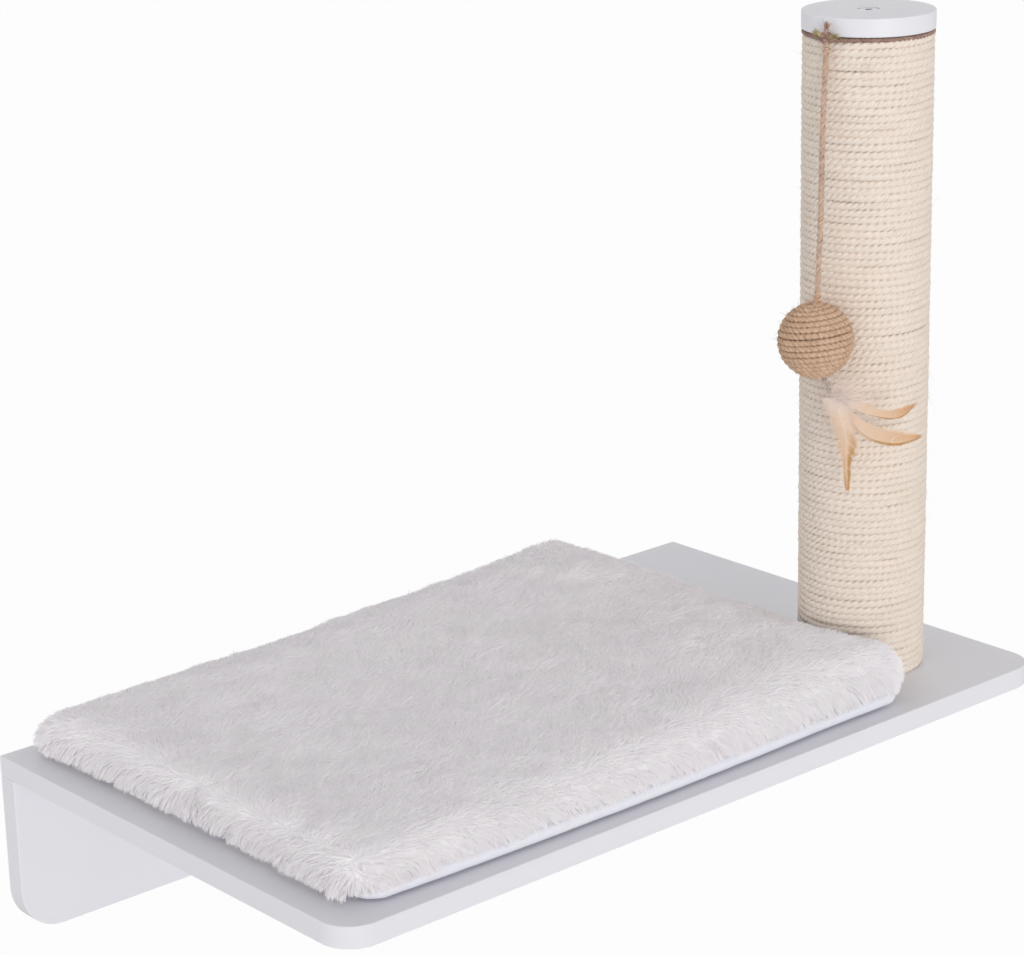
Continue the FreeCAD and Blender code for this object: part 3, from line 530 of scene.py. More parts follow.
def make_string(jute):
    """The jute string, two strands twisted along its route, with its stray fibres."""
    curve = bpy.data.curves.new("string_route", "CURVE")
    curve.dimensions = "3D"
    curve.resolution_u = 40
    spline = curve.splines.new("NURBS")
    spline.points.add(len(STRING_ROUTE) - 1)
    for point, place in zip(spline.points, STRING_ROUTE):
        point.co = (*(part * MM for part in place), 1)
    spline.order_u = 3
    spline.use_endpoint_u = True
    route = in_scene("string_route", curve)
    bpy.context.view_layer.update()
    path = rows(evaluated(route).vertices, "co").astype(float)
    bpy.data.objects.remove(route)
    fine = smooth_line(path, 300)
    shape = Shape()
    shape.tube(fine, lobed(STRING_WIDE / 2, 2, 0.42, 16), STRING_TWIST)
    piece = shape.make("jute_string", "toy_cord", jute, "jute", ["toy_string"])
    random, count = seeded(31), 90
    at = random.integers(10, len(fine) - 10, count)
    ways, sides, ups = carried_frame(fine)
    angle = random.uniform(0, math.tau, (count, 1))
    lifts = sides[at] * np.cos(angle) + ups[at] * np.sin(angle)
    along = ways[at] * random.choice((-1, 1), (count, 1))
    lengths = random.uniform(3, 8, count) * MM
    fuzz = "string_fuzz", "toy_cord", jute, "jute"
    make_fuzz(fuzz, fine[at] + lifts * 1.7 * MM, along, lifts, lengths, 0.11 * MM, random)


make_camera()
make_world()
make_lights()
make_floor()

jute = cord_finish("jute", (0.85, 0.60, 0.42), (0.62, 0.405, 0.27), (0.20, 0.12, 0.08), 0.58, relief=0.6)
pale_jute = cord_finish(
    "pale_jute", (0.80, 0.60, 0.47), (0.56, 0.38, 0.28), (0.22, 0.14, 0.09), 0.55, relief=0.6)
sisal = cord_finish("sisal", (0.94, 0.835, 0.745), (0.885, 0.77, 0.655), (0.42, 0.31, 0.21), 0.67, 0.5)
make_string(pale_jute)


# ---- sisal winding
def make_sisal():
    """Four lengths of three-strand sisal rope wound on the post, whose rows sway a little, and stray fibres.

    The rope is pressed flat against its neighbours above and below.
    """
    radius, low, high = 40.4 * MM, 70.35 * MM, 494.9 * MM
    pieces, first_turn, last_turn = 4, 0.655, 91.9
    lay, rings_per_lay = 14, 10
    outline, press = lobed(2.55 * MM, 3, 0.72, 18), (0.88, 0.96, 1.2)
    mat_high, short = 150 * MM, 0.3
    random = seeded(11)
    turns = last_turn - first_turn
    long = turns * math.tau * radius
    whole = np.linspace(first_turn, last_turn, int(long / (lay * MM) * rings_per_lay))
    along = (whole - first_turn) * math.tau * radius
    sway = wander(along, 21 * MM, random) * 0.36 + wander(along, 90 * MM, random) * 0.2
    swell = 1 + 0.08 * wander(along, 13 * MM, random)
    turned = along * twist(lay) + 1.5 * wander(along, 33 * MM, random)
    angle = math.tau * whole
    outward = np.stack([np.cos(angle), np.sin(angle), np.zeros_like(angle)], 1)
    reach = radius + 0.12 * MM * wander(along, 30 * MM, random)
    rise = low + (high - low) * (whole - first_turn) / turns + sway * MM
    line = POST + outward * reach[:, None] + UP * rise[:, None]
    ways = unit(np.gradient(line, axis=0))
    upward = np.cross(outward, ways)
    piece_long = len(line) // pieces + 1
    for number in range(pieces):
        part = slice(number * piece_long, (number + 1) * piece_long + 1)
        shape = Shape()
        shape.tube(line[part], outline, turned[part], swell[part], (outward[part], upward[part]), press)
        shape.make(f"sisal_winding_{number + 1}", "frame", sisal, "sisal", [f"sisal_rope_{number + 1}"])
    count = 700
    at = random.integers(40, len(line) - 40, count)
    starts = line[at] + outward[at] * 2.1 * MM + random.uniform(-1.6, 1.6, (count, 1)) * UP * MM
    slant = ways[at] * random.choice((-1, 1), (count, 1)) + UP * random.normal(0.1, 0.35, (count, 1))
    lifts = outward[at] * random.uniform(0, 0.5, (count, 1))
    beside_mat = starts[:, 2] < mat_high
    lifts[beside_mat] = 0
    lengths = random.uniform(4, 13, count) * MM * np.where(beside_mat, short, 1)
    fuzz = "sisal_fuzz", "frame", sisal, "sisal"
    make_fuzz(fuzz, starts, unit(slant), lifts, lengths, 0.08 * MM, random)


make_sisal()


# ---- the jute toy
def knot_line(centre, size, axis):
    """A small trefoil knot round a centre."""
    across, other = side_ways(axis, sideways if abs(axis @ sideways) < 0.9 else UP)
    t = np.linspace(0, math.tau * 0.985, 90)[:, None]
    reach = 2 + np.cos(3 * t)
    flat = (across * np.cos(2 * t) + other * np.sin(2 * t)) * reach / 3
    return centre + size * (flat + axis * np.sin(3 * t) * 0.5)


def frayed_end(shape, start, way, length, flare, count, random):
    """A cut end of cord: a bundle of fibres that opens out."""
    side, other = side_ways(way, UP if abs(way @ UP) < 0.8 else sideways)
    for _ in range(count):
        angle, far = random.uniform(0, math.tau), math.sqrt(random.uniform(0, 1))
        out = side * math.cos(angle) + other * math.sin(angle)
        long = length * random.uniform(0.75, 1.1)
        share = np.linspace(0, 1, 5)[:, None]
        wave = random.normal(0, 0.12, 3) * length
        line = start + way * long * share + out * far * (0.9 * MM + flare * share ** 1.5) + wave * share ** 2
        shape.tube(line, THREAD * 0.17 * MM, widths=(1, 1, 1, 0.9, 0.5))


def make_collar(shade_darkened_jute, cut_end, red_end):
    """The jute cord tied round the post under the cap, its knot and its cut ends."""
    random = seeded(41)
    tube_radius, clear, cord = 38 * MM, 1.6 * MM, 3.2 * MM
    ring_radius = tube_radius + clear + cord / 2
    spread = math.acos(ring_radius / KNOT_REACH)
    height = KNOT_HIGH - 1.5 * MM
    angle = np.linspace(TOY_TURN + spread, TOY_TURN - spread + math.tau, 260)
    level = height + 0.25 * MM * wander(angle - angle[0], 0.5, random)
    ring = POST + np.stack([np.cos(angle) * ring_radius, np.sin(angle) * ring_radius, level], 1)
    tip = POST + knot_out * KNOT_REACH + UP * height
    lead = np.linspace(0, 1, 8)[:-1, None]
    line = np.concatenate([tip + (ring[0] - tip) * lead, ring, tip + (ring[-1] - tip) * (1 - lead)])
    shape = Shape()
    shape.tube(smooth_line(line, 560), lobed(cord / 2, 2, 0.5, 12), twist(7))
    across = np.array((-knot_out[1], knot_out[0], 0))
    for axis, size in ((knot_out, 3.1 * MM), (across, 2.7 * MM)):
        shape.tube(knot_line(KNOT, size, axis), lobed(1.3 * MM, 2, 0.55, 10), twist(7))
    # The collar uses the darker jute: its redder tone is the cord's own, and its extra darkness is painted
    # shade from the cap.
    shape.make("jute_collar", "frame", shade_darkened_jute, "jute", ["toy_collar"])
    over, beside = UP * 0.9, across * 1.8
    ends = (
        ("up", UP * 1.5, UP + knot_out * 0.12 + across * 0.1, 8.6, 1.7, red_end),
        ("left", over - beside, UP * 0.42 - across + knot_out * 0.3, 7.5, 1.9, cut_end),
        ("right", over + beside, across + UP * 0.1 + knot_out * 0.3, 7.5, 1.7, cut_end))
    for side, step, way, length, flare, finish in ends:
        start, way, length = KNOT + step * MM, unit(way), length * MM
        stub = Shape()
        solid = smooth_line([start, start + way * length * 0.55], 10)
        stub.tube(solid, lobed(1.6 * MM, 2, 0.55, 12), twist(7))
        frayed_end(stub, start + way * length * 0.3, way, length * 0.7, flare * MM, 46, random)
        stub.make(f"jute_end_{side}", "frame", finish, "jute")


def make_hanger():
    """The knot that the string hangs from, and the short runs of cord at its ends."""
    top, bottom = KNOT - UP * 2.2 * MM, np.array(STRING_ROUTE[0]) * MM
    run = smooth_line([top, STRING_KNOT, bottom, bottom + string_way * 2.5 * MM], 40)
    hanger = Shape()
    hanger.tube(run, lobed(STRING_WIDE / 2 * 0.98, 2, 0.5, 16), STRING_TWIST)
    for size, axis in ((2.1, string_way), (1.8, sideways)):
        hanger.tube(knot_line(STRING_KNOT, size * MM, axis), lobed(0.95 * MM, 2, 0.55, 10), twist(6))
    hanger.make("jute_hanger", "toy_hanger", pale_jute, "jute", ["string_knot"])


def make_ball():
    """The ball's winding of twisted jute from pole to pole, its stray fibres and the knot above it."""
    random = seeded(43)
    radius, cord_radius = 22.6 * MM, 2.24 * MM
    pole = unit(UP - sideways * math.tan(math.radians(8.5)))
    first_side, second_side = side_ways(pole, -ball_out)
    bare, turns, round_once = math.radians(21), 14, 100 * MM
    polar_step = (math.pi - 2 * bare) / turns
    extra = (bare - math.radians(5)) / polar_step
    turn = np.linspace(-extra, turns + extra, 3400)
    along = (turn + extra) * round_once
    polar = (bare + polar_step * turn + np.radians(0.65) * wander(along, 45 * MM, random))[:, None]
    angle = math.tau * turn[:, None]
    level = first_side * np.cos(angle) + second_side * np.sin(angle)
    reach = radius + 0.12 * MM * wander(along, 20 * MM, random)
    line = BALL + (level * np.sin(polar) + pole * np.cos(polar)) * reach[:, None]
    shape = Shape()
    shape.tube(line, lobed(cord_radius, 2, 0.62, 14), twist(7.5))
    shape.make("jute_ball", "toy_ball", jute, "jute", ["ball_winding"])
    count = 420
    at = random.integers(60, len(line) - 60, count)
    out = unit(line[at] - BALL)
    ways = unit(np.gradient(line, axis=0))[at] * random.choice((-1, 1), (count, 1))
    ways = unit(ways + random.normal(0, 0.35, (count, 3)))
    lifts = out * random.uniform(0, 0.9, (count, 1))
    lengths = random.uniform(3, 8, count) * MM
    fuzz = "ball_fuzz", "toy_ball", jute, "jute"
    make_fuzz(fuzz, line[at] + out * 1.6 * MM, ways, lifts, lengths, 0.1 * MM, random)
    top = Shape()
    top.tube(knot_line(BALL_KNOT, 2.2 * MM, string_way), lobed(0.95 * MM, 2, 0.55, 10), twist(6))
    run = smooth_line([BALL_KNOT - string_way * 5 * MM, BALL_KNOT + string_way * 6 * MM], 24)
    top.tube(run, lobed(1.7 * MM, 2, 0.5, 12), STRING_TWIST)
    top.make("jute_ball_knot", "toy_ball", jute, "jute", ["ball_knot"])


def make_thread(thread):
    """The thread knot under the ball, the thread and the binding round the feathers' quills."""
    knot = Shape()
    knot.tube(knot_line(FEATHER_KNOT, 1.5 * MM, exit_way), lobed(0.6 * MM, 2, 0.6, 8), twist(3))
    knot.tube(smooth_line([FEATHER_KNOT, FEATHER_KNOT - exit_way * 4 * MM], 8), lobed(0.85 * MM, 2, 0.6, 8))
    knot.make("thread_knot", "toy_ball", thread, "thread", ["feather_knot"])
    tie = Shape()
    run = smooth_line([TIE_START, BIND_START + thread_way * MM], 30)
    tie.tube(run, lobed(0.9 * MM, 3, 0.6, 12), twist(3))
    turn = np.linspace(0, 9, 260)[:, None]
    side, other = side_ways(thread_way, ball_out)
    ring = side * np.cos(math.tau * turn) + other * np.sin(math.tau * turn)
    tie.tube(BIND_START + (thread_way * turn * 0.49 + ring * 1.25) * MM, lobed(0.3 * MM, 2, 0.7, 6))
    random = seeded(53)
    for _ in range(26):
        out = unit(random.normal(0, 1, 3))
        start = TIE_START + thread_way * random.uniform(1, 7) * MM
        frayed = start + np.linspace(0, 1, 5)[:, None] * (out * 3 + thread_way * random.uniform(1, 4)) * MM
        tie.tube(frayed, THREAD * 0.08 * MM)
    tie.make("thread_binding", "feather_bunch", thread, "thread", ["feather_tie"])


def at_share(line, share):
    """Points at shares of an evenly stepped line."""
    last = len(line) - 1
    low = np.minimum((share * last).astype(int), last - 1)
    part = (share * last - low)[:, None]
    return line[low] * (1 - part) + line[low + 1] * part


def make_feather(kind, vane, outline, barbs, random):
    """A feather: a tapered shaft, and fine barbs from it to both rims.

    The outline's rows are a point of the shaft across, up and out, then the two rims across and up.
    The rims lie a little nearer to the post than the shaft.
    """
    rings, rim_back, outline = 60, 0.7, np.array(outline)
    shaft = smooth_line(from_root(outline[:, :3]), rings)
    shape = Shape()
    shape.tube(shaft, lobed(0.22 * MM, 1, 1.0, 6), widths=np.linspace(1, 0.3, rings))
    share = np.sort(random.uniform(0.0, 0.97, barbs))
    start, way = at_share(shaft, share), at_share(unit(np.gradient(shaft, axis=0)), share)
    steps = np.array((0, 0.35, 0.7, 1.0))[None, :, None]
    for first, sign in ((3, -1), (5, 1)):
        rim = np.column_stack([outline[:, first:first + 2], outline[:, 2] - rim_back])
        rim = smooth_line(from_root(rim), rings)
        bundle = 0.025 * wander(share * rings, 2.2, random) + random.normal(0, 0.02, barbs)
        ends = at_share(rim, np.clip(share * 0.85 + 0.15 + bundle, 0, 1))
        reach = (ends - start) * (1.02 + random.normal(0, 0.13, (barbs, 1)))
        bow = np.linalg.norm(reach, axis=1, keepdims=True) * way * -0.16
        lines = start[:, None] + reach[:, None] * steps + bow[:, None] * 4 * steps * (1 - steps)
        lines = lines + random.normal(0, 0.1 * MM, (barbs, 1, 3)) * steps
        halves = np.outer(random.uniform(0.12, 0.2, barbs) * MM, (0.9, 1.0, 0.7, 0))
        spread = np.array((0, 0, 0.35, 0.35, 0.7, 0.7, 1.0)) * sign
        places = np.stack([np.repeat(share[:, None], 7, 1), np.tile(spread, (barbs, 1))], -1)
        shape.blades(lines, unit(np.cross(reach, ball_out)), halves, places)
    shape.make(f"orange_feather_{kind}", "feather_bunch", vane, "feather", [f"feather_{kind}"])


LONG_FEATHER = (
    (1.2, -0.3, 0, 0.5, -1.2, 2.5, 1), (6.5, -6.5, -0.3, 5.4, -7.6, 9.1, -4),
    (11.8, -13.6, -1.6, 10.6, -15.2, 15.9, -11.5), (17.8, -20.6, -3.1, 16.4, -22.6, 22, -16),
    (24.6, -25.2, -4.7, 23.5, -27.6, 28, -18.3), (32.2, -27.2, -6.3, 31.8, -29.9, 38.2, -19.7),
    (42.3, -27.4, -7.9, 42.5, -29.8, 48.6, -20.4), (51, -24.8, -9.4, 51.2, -26.6, 55, -20.6),
    (59, -21.8, -11, 59.7, -21.9, 59.5, -21.2))
UPPER_FEATHER = (
    (1.6, 0.4, 1.4, 1, 0, 3, 2), (8, -1.5, 0.8, 7.5, -2.8, 10, 3), (15.6, -5, -0.3, 15.2, -6.4, 19, 1),
    (23, -8, -1, 22.6, -9.3, 26, -3), (29, -9.2, -1.6, 28.9, -10.6, 33, -5.6),
    (35.3, -10, -2.9, 35.3, -11.4, 39.5, -5.8), (42.2, -9.7, -4.1, 42.2, -11, 45.5, -4),
    (48, -7.2, -5.4, 48.4, -8.4, 51, -1.2), (56.8, 1, -8, 57, 0.7, 56.3, 1.2))
LOWER_FEATHER = (
    (-0.3, -1.5, 1.9, 4, 0.5, -4, -0.5), (4.2, -8, 1.2, 13.8, -6.1, -6.4, -4),
    (6.5, -16, 0.2, 15.5, -14.6, -4.6, -12), (8.5, -23, -0.8, 15.9, -23.2, -1, -19.5),
    (9.2, -31, -2.2, 16.6, -31.5, 1.6, -28), (8.6, -38.5, -3.8, 14.9, -38.6, 2.4, -36.5),
    (7.9, -45.5, -5.2, 11, -45.6, 4.4, -44), (7.4, -56, -7.2, 9.9, -55.7, 4.8, -55.5),
    (6.7, -68.5, -9, 8, -68.3, 5.2, -67.6))


def make_down(down):
    """The fluff at the feathers' roots: fine curled filaments in a loose haze."""
    random = seeded(67)
    count = 300
    angle, far = random.uniform(0, math.tau, count), np.sqrt(random.uniform(0, 1, count))
    across, rise = 15.5 + 19 * far * np.cos(angle), 3.6 + 10.5 * far * np.sin(angle)
    out = 3 + random.normal(0, 2.2, count)
    ends = from_root(np.stack([across, rise, out], 1))
    start = from_root([(2.5, 0.5, 1)]) + random.normal(0, 1.2 * MM, (count, 3))
    steps = np.linspace(0, 1, 8)[None, :, None]
    curl = random.normal(0, 1.8 * MM, (count, 1, 3))
    wave = random.normal(0, 0.8 * MM, (count, 1, 3))
    lines = start[:, None] + (ends - start)[:, None] * steps
    lines = lines + curl * np.sin(steps * math.pi) + wave * np.sin(steps * 3.4 * math.pi)
    side = unit(np.cross(ends - start, ball_out + random.normal(0, 0.15, (count, 3))))
    halves = np.outer(np.full(count, 0.1 * MM), (1, 1, 1, 0.9, 0.8, 0.7, 0.5, 0))
    shape = Shape()
    shape.blades(lines, side, halves)
    shape.make("down_fluff", "feather_bunch", down, "down", ["feather_down"])


def make_toy():
    cut_end = cord_finish("cut_jute", (0.66, 0.56, 0.34), (0.48, 0.38, 0.20), (0.2, 0.13, 0.06), 0.62)
    red_end = cord_finish("red_jute", (0.66, 0.41, 0.34), (0.46, 0.27, 0.21), (0.2, 0.1, 0.07), 0.6)
    # The collar's cord is drawn in its own redder brown, and its extra darkness is painted shade from the cap
    # above it.
    shade_darkened_jute = cord_finish("shade_darkened_jute", (0.50, 0.33, 0.27), (0.31, 0.19, 0.15), (0.1, 0.06, 0.05), 0.55)
    make_collar(shade_darkened_jute, cut_end, red_end)
    make_hanger()
    make_ball()
    make_thread(cord_finish("thread", (0.68, 0.58, 0.55), (0.55, 0.45, 0.43), (0.35, 0.27, 0.26), 0.7))
    vane = feather_finish()
    make_feather("long", vane, LONG_FEATHER, 560, seeded(61))
    make_feather("upper", vane, UPPER_FEATHER, 480, seeded(62))
    make_feather("lower", vane, LOWER_FEATHER, 600, seeded(63))
    make_down(down_finish())


make_toy()


# ---- the mat
MAT_LEFT, MAT_RIGHT, MAT_FRONT, MAT_BACK = -283.0, 175.5, -342.0, -5.0
MAT_CORNER, FOOT_INSET, SHOULDER = 18.0, 5.0, 16.0
MAT_LIFT, LINING_THICK = 2.0, 2.4
LEFT_HIGH, RIGHT_HIGH = 26.5, 41.5
PILE_HIGH, PILE_OUT = 3.0, 1.5
STEEP, CLOTH_STEPS = 0.4, 20
CORNER_PULL, CORNER_PULL_FAR = np.array((9.5, -2.5)), 45
SKIN_FLOOR = MAT_LIFT + LINING_THICK
BULGES = ((0, -1, 4.0), (1, 0, -1.5), (0, 1, -2.5), (-1, 0, -2.0))
BLADES, BLADE_STEPS = 125000, 3
BLADE_LONG, BLADE_LIMITS, BLADE_HALF = 7.5, (4.5, 13), (0.17, 0.3)
BLADE_TILT, BLADE_BEND, TUFT_WIDE = 63, math.radians(9), 7
PATCH_COLUMNS, PATCH_ROWS = 3, 2
NAP = math.radians(15)
RIM_LEAN, RIM_LEAN_FAR = 2.2, 17
TO_ROOM = np.array((-0.42, -0.75, 0.5))
MAT_AREA = 0.2


def mat_outline(inset):
    """The mat's rounded outline in plan, in millimetres, drawn in by inset, by less at its right and back.

    Each side bows out by its bulge, and the front right corner is pulled towards the post's front.
    """
    corner = max(MAT_CORNER - 0.5 * inset, 9)
    left, right = MAT_LEFT + inset + corner, MAT_RIGHT - inset * STEEP - corner
    front, back = MAT_FRONT + inset + corner, MAT_BACK - inset * STEEP - corner
    centres = np.array(((right, front), (right, back), (left, back), (left, front)))
    share = np.linspace(0, 1, 27)[:-1, None]
    points = []
    for side, (over, up, bulge) in enumerate(BULGES):
        before, centre = centres[side - 1], centres[side]
        bow = 4 * share * (1 - share) * bulge
        points.append(before + (centre - before) * share + np.array((over, up)) * (corner + bow))
        angle = math.atan2(up, over) + np.linspace(0, math.pi / 2, 9)[:-1]
        points.append(centre + corner * np.stack([np.cos(angle), np.sin(angle)], 1))
    points = np.concatenate(points)
    far = np.linalg.norm(points - (MAT_RIGHT, MAT_FRONT), axis=1)
    return points + np.exp(-(far / CORNER_PULL_FAR) ** 2)[:, None] * CORNER_PULL


def mat_top(x, inset):
    """The mat's height above the shelf at x, in millimetres, without its pile."""
    share = np.clip((x - MAT_LEFT) / (MAT_RIGHT - MAT_LEFT), 0, 1)
    power = 1 + 0.8 * np.clip(1 - inset / 120, 0, 1)
    return LEFT_HIGH + (RIGHT_HIGH - LEFT_HIGH) * share ** power - PILE_HIGH


def closed_mesh(name, rings):
    """A closed mesh from rings of equal counts, capped at both ends."""
    mesh = bpy.data.meshes.new(name)
    quads, caps = ring_faces(len(rings), len(rings[0]))
    mesh.from_pydata(np.concatenate(rings).tolist(), [], quads.tolist() + caps.tolist())
    return in_scene(name, mesh)


def fill_out(piece, voxel, pressure, most):
    """Points of a closed form made of even faces and filled out as cloth under pressure.

    No point moves by more than the most.
    """
    remesh = piece.modifiers.new("remesh", "REMESH")
    remesh.mode = "VOXEL"
    remesh.voxel_size = voxel
    piece.data = evaluated(piece)
    piece.modifiers.clear()
    points = rows(piece.data.vertices, "co").astype(float)
    cloth = piece.modifiers.new("cloth", "CLOTH")
    cloth.settings.quality = 4
    cloth.settings.use_pressure = True
    cloth.settings.uniform_pressure_force = pressure
    cloth.settings.effector_weights.gravity = 0
    for step in range(1, CLOTH_STEPS + 1):
        bpy.context.scene.frame_set(step)
    moved = rows(evaluated(piece).vertices, "co") - points
    piece.modifiers.clear()
    bpy.context.scene.frame_set(1)
    far = np.linalg.norm(moved, axis=1, keepdims=True)
    return points + moved * np.minimum(1, most / np.maximum(far, 1e-9))


def make_mat_skin(material):
    """The plush's backing: a crowned, filled out form under the pile, a little hilly.

    Its side is a list of insets, each with its share of the height.
    """
    waist, rounded, base = 0.45, 0.5, SKIN_FLOOR + 0.1
    side = [(FOOT_INSET + PILE_OUT, 0)]
    for share in (0.33, 0.67, 1):
        side.append((PILE_OUT + FOOT_INSET * (1 - math.sin(share * math.pi / 2)), share * waist))
    for step in range(1, 8):
        angle = step / 7 * math.pi / 2
        over = SHOULDER * (1 - math.cos(angle)) ** 1.6
        side.append((PILE_OUT + over, waist + rounded * math.sin(angle)))
    side += [(70, 0.98), (120, 1.0), (150, 1.0)]
    rings = []
    for inset, share in side:
        plan = mat_outline(inset)
        high = base + (mat_top(plan[:, 0], inset) - base) * share
        rings.append(np.column_stack([plan, SHELF_TOP / MM + high]) * MM)
    skin = closed_mesh("plush_backing", rings)
    points = fill_out(skin, voxel=5 * MM, pressure=4.0, most=3.5 * MM)
    floor = SHELF_TOP + SKIN_FLOOR * MM
    points[:, 2] = np.maximum(points[:, 2], floor)
    random = seeded(71)
    x, y = points[:, :2].T / MM
    hills = sum(cloudy(x, y, wide, random) * high for wide, high in ((48, 0.9), (22, 0.6), (11, 0.2)))
    points[:, 2] += hills * np.clip((points[:, 2] - floor) / (12 * MM), 0, 1) * MM
    skin.data.vertices.foreach_set("co", points.astype(np.float32).ravel())
    skin.data.update()
    subdivide = skin.modifiers.new("subdivide", "SUBSURF")
    subdivide.levels = subdivide.render_levels = 1
    skin.data = evaluated(skin)
    skin.modifiers.clear()
    keep(skin, "cushion", material, ["cushion_cover", "cushion_filling"])
    return skin


def sample_surface(mesh, count, random):
    """Random points on a mesh's sides and top, closer together on its sides, with their normals."""
    flat, beside = 0.6, 2.4
    mesh.calc_loop_triangles()
    corners = rows(mesh.loop_triangles, "vertices", np.int32)
    points = rows(mesh.vertices, "co").astype(float)
    normals = rows(mesh.vertex_normals, "vector").astype(float)
    a, b, c = (points[corners[:, k]] for k in range(3))
    cross = np.cross(b - a, c - a)
    area = np.linalg.norm(cross, axis=1)
    facing = cross[:, 2] / np.maximum(area, 1e-12)
    area = np.where(facing < -flat, 0, area * np.where(facing < flat, beside, 1))
    taken = random.choice(len(corners), count, p=area / area.sum())
    first, second = random.uniform(0, 1, (2, count, 1))
    flip = first + second > 1
    first, second = np.where(flip, 1 - first, first), np.where(flip, 1 - second, second)
    third = 1 - first - second
    i, j, k = corners[taken].T
    return tuple(values[i] * third + values[j] * first + values[k] * second for values in (points, normals))


def clump(lines, wavelength, pull, random):
    """Draws the tips of blades towards the nearest of a few leaders, so that they stand in tufts."""
    roots = lines[:, 0]
    leaders = random.choice(len(roots), int(MAT_AREA / wavelength ** 2), replace=False)
    tree = KDTree(len(leaders))
    for number, leader in enumerate(leaders):
        tree.insert(roots[leader], number)
    tree.balance()
    nearest = leaders[[tree.find(root)[1] for root in roots]]
    share = np.linspace(0, 1, lines.shape[1])[None, :, None] ** 1.5
    pulls = pull * random.uniform(0.5, 1.3, (len(roots), 1, 1))
    return lines + (lines[nearest] - lines) * share * pulls


def rim_lean(far):
    """How strongly blades lean outward so far from a side of the mat, in millimetres."""
    return RIM_LEAN * np.exp(-(np.maximum(far, 0) / RIM_LEAN_FAR) ** 2)


def make_pile(skin, material):
    """The plush pile: leaning blades of fibre, drawn into tufts, in six patches.

    Each blade's broad face is turned to the room, as a round fibre's lit side is. Towards the rim
    the blades lean outward and hang over it.
    """
    random = seeded(73)
    roots, normals = sample_surface(skin.data, BLADES, random)
    normals = unit(normals)
    x, y = roots[:, :2].T / MM
    side_share = np.clip(1 - normals[:, 2:], 0, 1)
    beside = side_share[:, 0]
    nap = NAP + cloudy(x, y, 60, random) * 0.5 + cloudy(x, y, 17, random) * 0.8
    over = np.cos(nap) + rim_lean(MAT_RIGHT - x) - rim_lean(x - MAT_LEFT)
    up = np.sin(nap) + rim_lean(MAT_BACK - y) - rim_lean(y - MAT_FRONT)
    lean = np.column_stack([over, up, np.zeros(BLADES)])
    lean = unit(lean) * (1 - 0.5 * side_share) - UP * 1.1 * side_share
    lean = lean + random.normal(0, 0.45, (BLADES, 3)) * (1 - 0.6 * side_share)
    lean = unit(lean - normals * np.sum(lean * normals, 1, keepdims=True))
    long = BLADE_LONG + cloudy(x, y, 14, random) + random.normal(0, 0.8, BLADES)
    long = np.clip(long * (1 + 0.55 * beside), *BLADE_LIMITS) * MM
    base_angle = np.radians(BLADE_TILT + 6 * cloudy(x, y, 11, random) - 20 * beside)
    lines = [roots - normals * 0.4 * MM]
    for step in range(BLADE_STEPS):
        angle = (base_angle + BLADE_BEND * step)[:, None]
        way = normals * np.cos(angle) + lean * np.sin(angle)
        lines.append(lines[-1] + way * (long / BLADE_STEPS)[:, None])
    lines = clump(np.stack(lines, 1), TUFT_WIDE * MM, 0.15 + 0.3 * side_share[:, :, None], random)
    lines += random.normal(0, 0.16 * MM, lines.shape) * np.linspace(0, 1, BLADE_STEPS + 1)[None, :, None]
    keep_off_post(lines)
    keep_off_shelf(lines, x, y, random)
    room = unit(TO_ROOM + random.normal(0, 0.12, (BLADES, 3)))
    across = unit(np.cross(lines[:, -1] - lines[:, 0], room))
    wider = 1
    halves = np.outer(random.uniform(*BLADE_HALF, BLADES) * MM * wider, (1, 0.95, 0.6, 0))
    column = np.floor((x - MAT_LEFT) / (MAT_RIGHT - MAT_LEFT) * PATCH_COLUMNS).clip(0, PATCH_COLUMNS - 1)
    row = y > (MAT_FRONT + MAT_BACK) / 2
    for number in range(PATCH_COLUMNS * PATCH_ROWS):
        taken = column + PATCH_COLUMNS * row == number
        shape = Shape()
        shape.blades(lines[taken], across[taken], halves[taken])
        shape.make(f"plush_pile_{number + 1}", "cushion", material, "plush")


def keep_off_post(lines):
    """Bends blades round the post where they would run into it."""
    clear = 44.6 * MM
    off = lines[..., :2] - POST[:2]
    far = np.linalg.norm(off, axis=-1, keepdims=True)
    lines[..., :2] = np.where(far < clear, POST[:2] + off / far * clear, lines[..., :2])


def keep_off_shelf(lines, x, y, random):
    """Lifts blades off the shelf, and at the front off the lining, which shows more towards both ends."""
    front_strip, hem, ends, middle, near, fade = 16, 4.5, 3.5, -65, 56, 40
    bared = hem + ends * np.clip((np.abs(x - middle) - near) / fade, 0, 1)
    bared = bared + 1.5 * cloudy(x, y, 9, random)
    lowest = SHELF_TOP + np.where(y < MAT_FRONT + front_strip, bared, 1.5)[:, None] * MM
    lines[..., 2] = np.maximum(lines[..., 2], lowest + random.uniform(0, 2.2 * MM, (len(lines), 1)))


LINING_SIDE = ((16, 2.0), (9.5, 2.1), (7.2, 3.4), (6.0, 6.0), (6.2, 9.0), (8, 11.0), (20, 11.5))


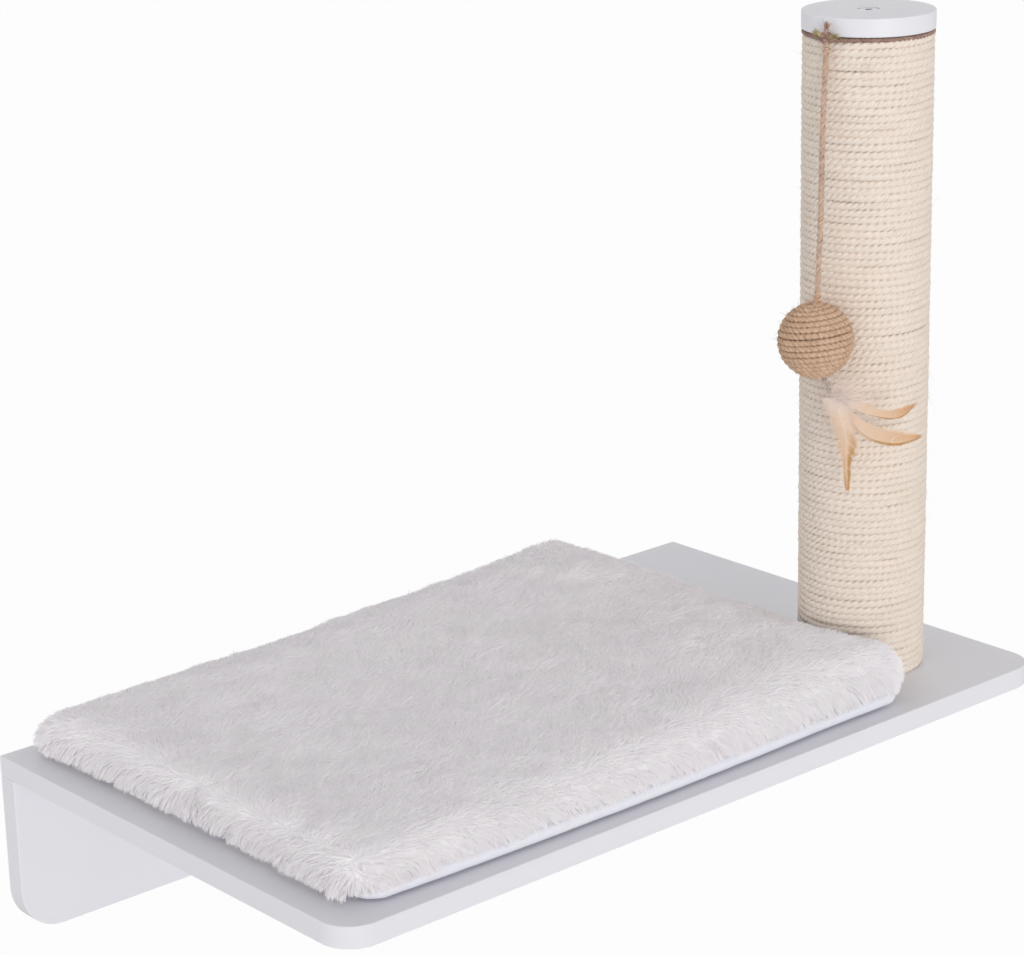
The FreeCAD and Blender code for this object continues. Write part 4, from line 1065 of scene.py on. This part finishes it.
def make_lining(material):
    """The smooth lining under the mat, pushed out at the front and gathered along its seam."""
    middle_x = (MAT_LEFT + MAT_RIGHT) / 2
    narrowed, pushed, push_far, gather_wide, gather_deep = 0.976, 6.5, 30, 7, 0.55
    rings = []
    for inset, height in LINING_SIDE:
        plan = mat_outline(inset)
        plan[:, 1] -= pushed * np.clip((MAT_FRONT + push_far - plan[:, 1]) / push_far, 0, 1)
        plan[:, 0] = middle_x + (plan[:, 0] - middle_x) * narrowed
        fine = np.concatenate([np.linspace(a, b, 4)[:-1] for a, b in zip(plan, np.roll(plan, -1, 0))])
        step = np.linalg.norm(np.roll(fine, -1, 0) - fine, axis=1)
        gather = wander(np.cumsum(step), gather_wide, seeded(80)) * gather_deep
        middle = fine.mean(0)
        fine = fine + unit(fine - middle) * gather[:, None] * (height > 2.05)
        level = SHELF_TOP / MM + height + 0.25 * gather * (height > 2.5)
        rings.append(np.column_stack([fine, level]) * MM)
    piece = closed_mesh("lining_cloth", rings)
    keep(piece, "cushion", material, ["cushion_lining"])


def make_mat():
    pile = pile_finish()
    skin = make_mat_skin(pile)
    make_pile(skin, pile)
    make_lining(woven_finish("lining_weave", (0.88, 0.885, 0.95), 1800, 0.05 * MM))


make_mat()


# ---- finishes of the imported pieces
def dress_nodes():
    """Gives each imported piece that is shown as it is, or held inside, its finish."""
    finishes = (
        (board_finish(), "shelf_board wall_board top_cap"),
        (steel_finish("zinc", (0.80, 0.80, 0.82), (0.62, 0.63, 0.66), 0.32),
         "joint_screws post_bolt cap_bolt post_washer"),
        (steel_finish("grey_steel", (0.55, 0.55, 0.57), (0.40, 0.40, 0.42), 0.4),
         "lower_insert upper_insert"),
        (grain_finish("beech", (0.74, 0.55, 0.36), (0.60, 0.41, 0.25), (12, 12, 1), 60), "joint_dowels"),
        (grain_finish("cardboard", (0.55, 0.42, 0.29), (0.45, 0.33, 0.22), (1, 1, 9), 90), "post_tube"),
        (grain_finish("fibreboard", (0.58, 0.44, 0.29), (0.47, 0.34, 0.21), (1, 1, 3), 900),
         "lower_plug upper_plug"),
        (grain_finish("foam", (0.86, 0.85, 0.80), (0.76, 0.75, 0.70), (1, 1, 1), 1200), "ball_core"),
        (woven_finish("hook_tape", (0.80, 0.80, 0.80), 2600, 0.3 * MM), "hook_strips loop_strips"),
    )
    for material, names in finishes:
        for name in names.split():
            dress(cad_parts[name].data, material)


dress_nodes()
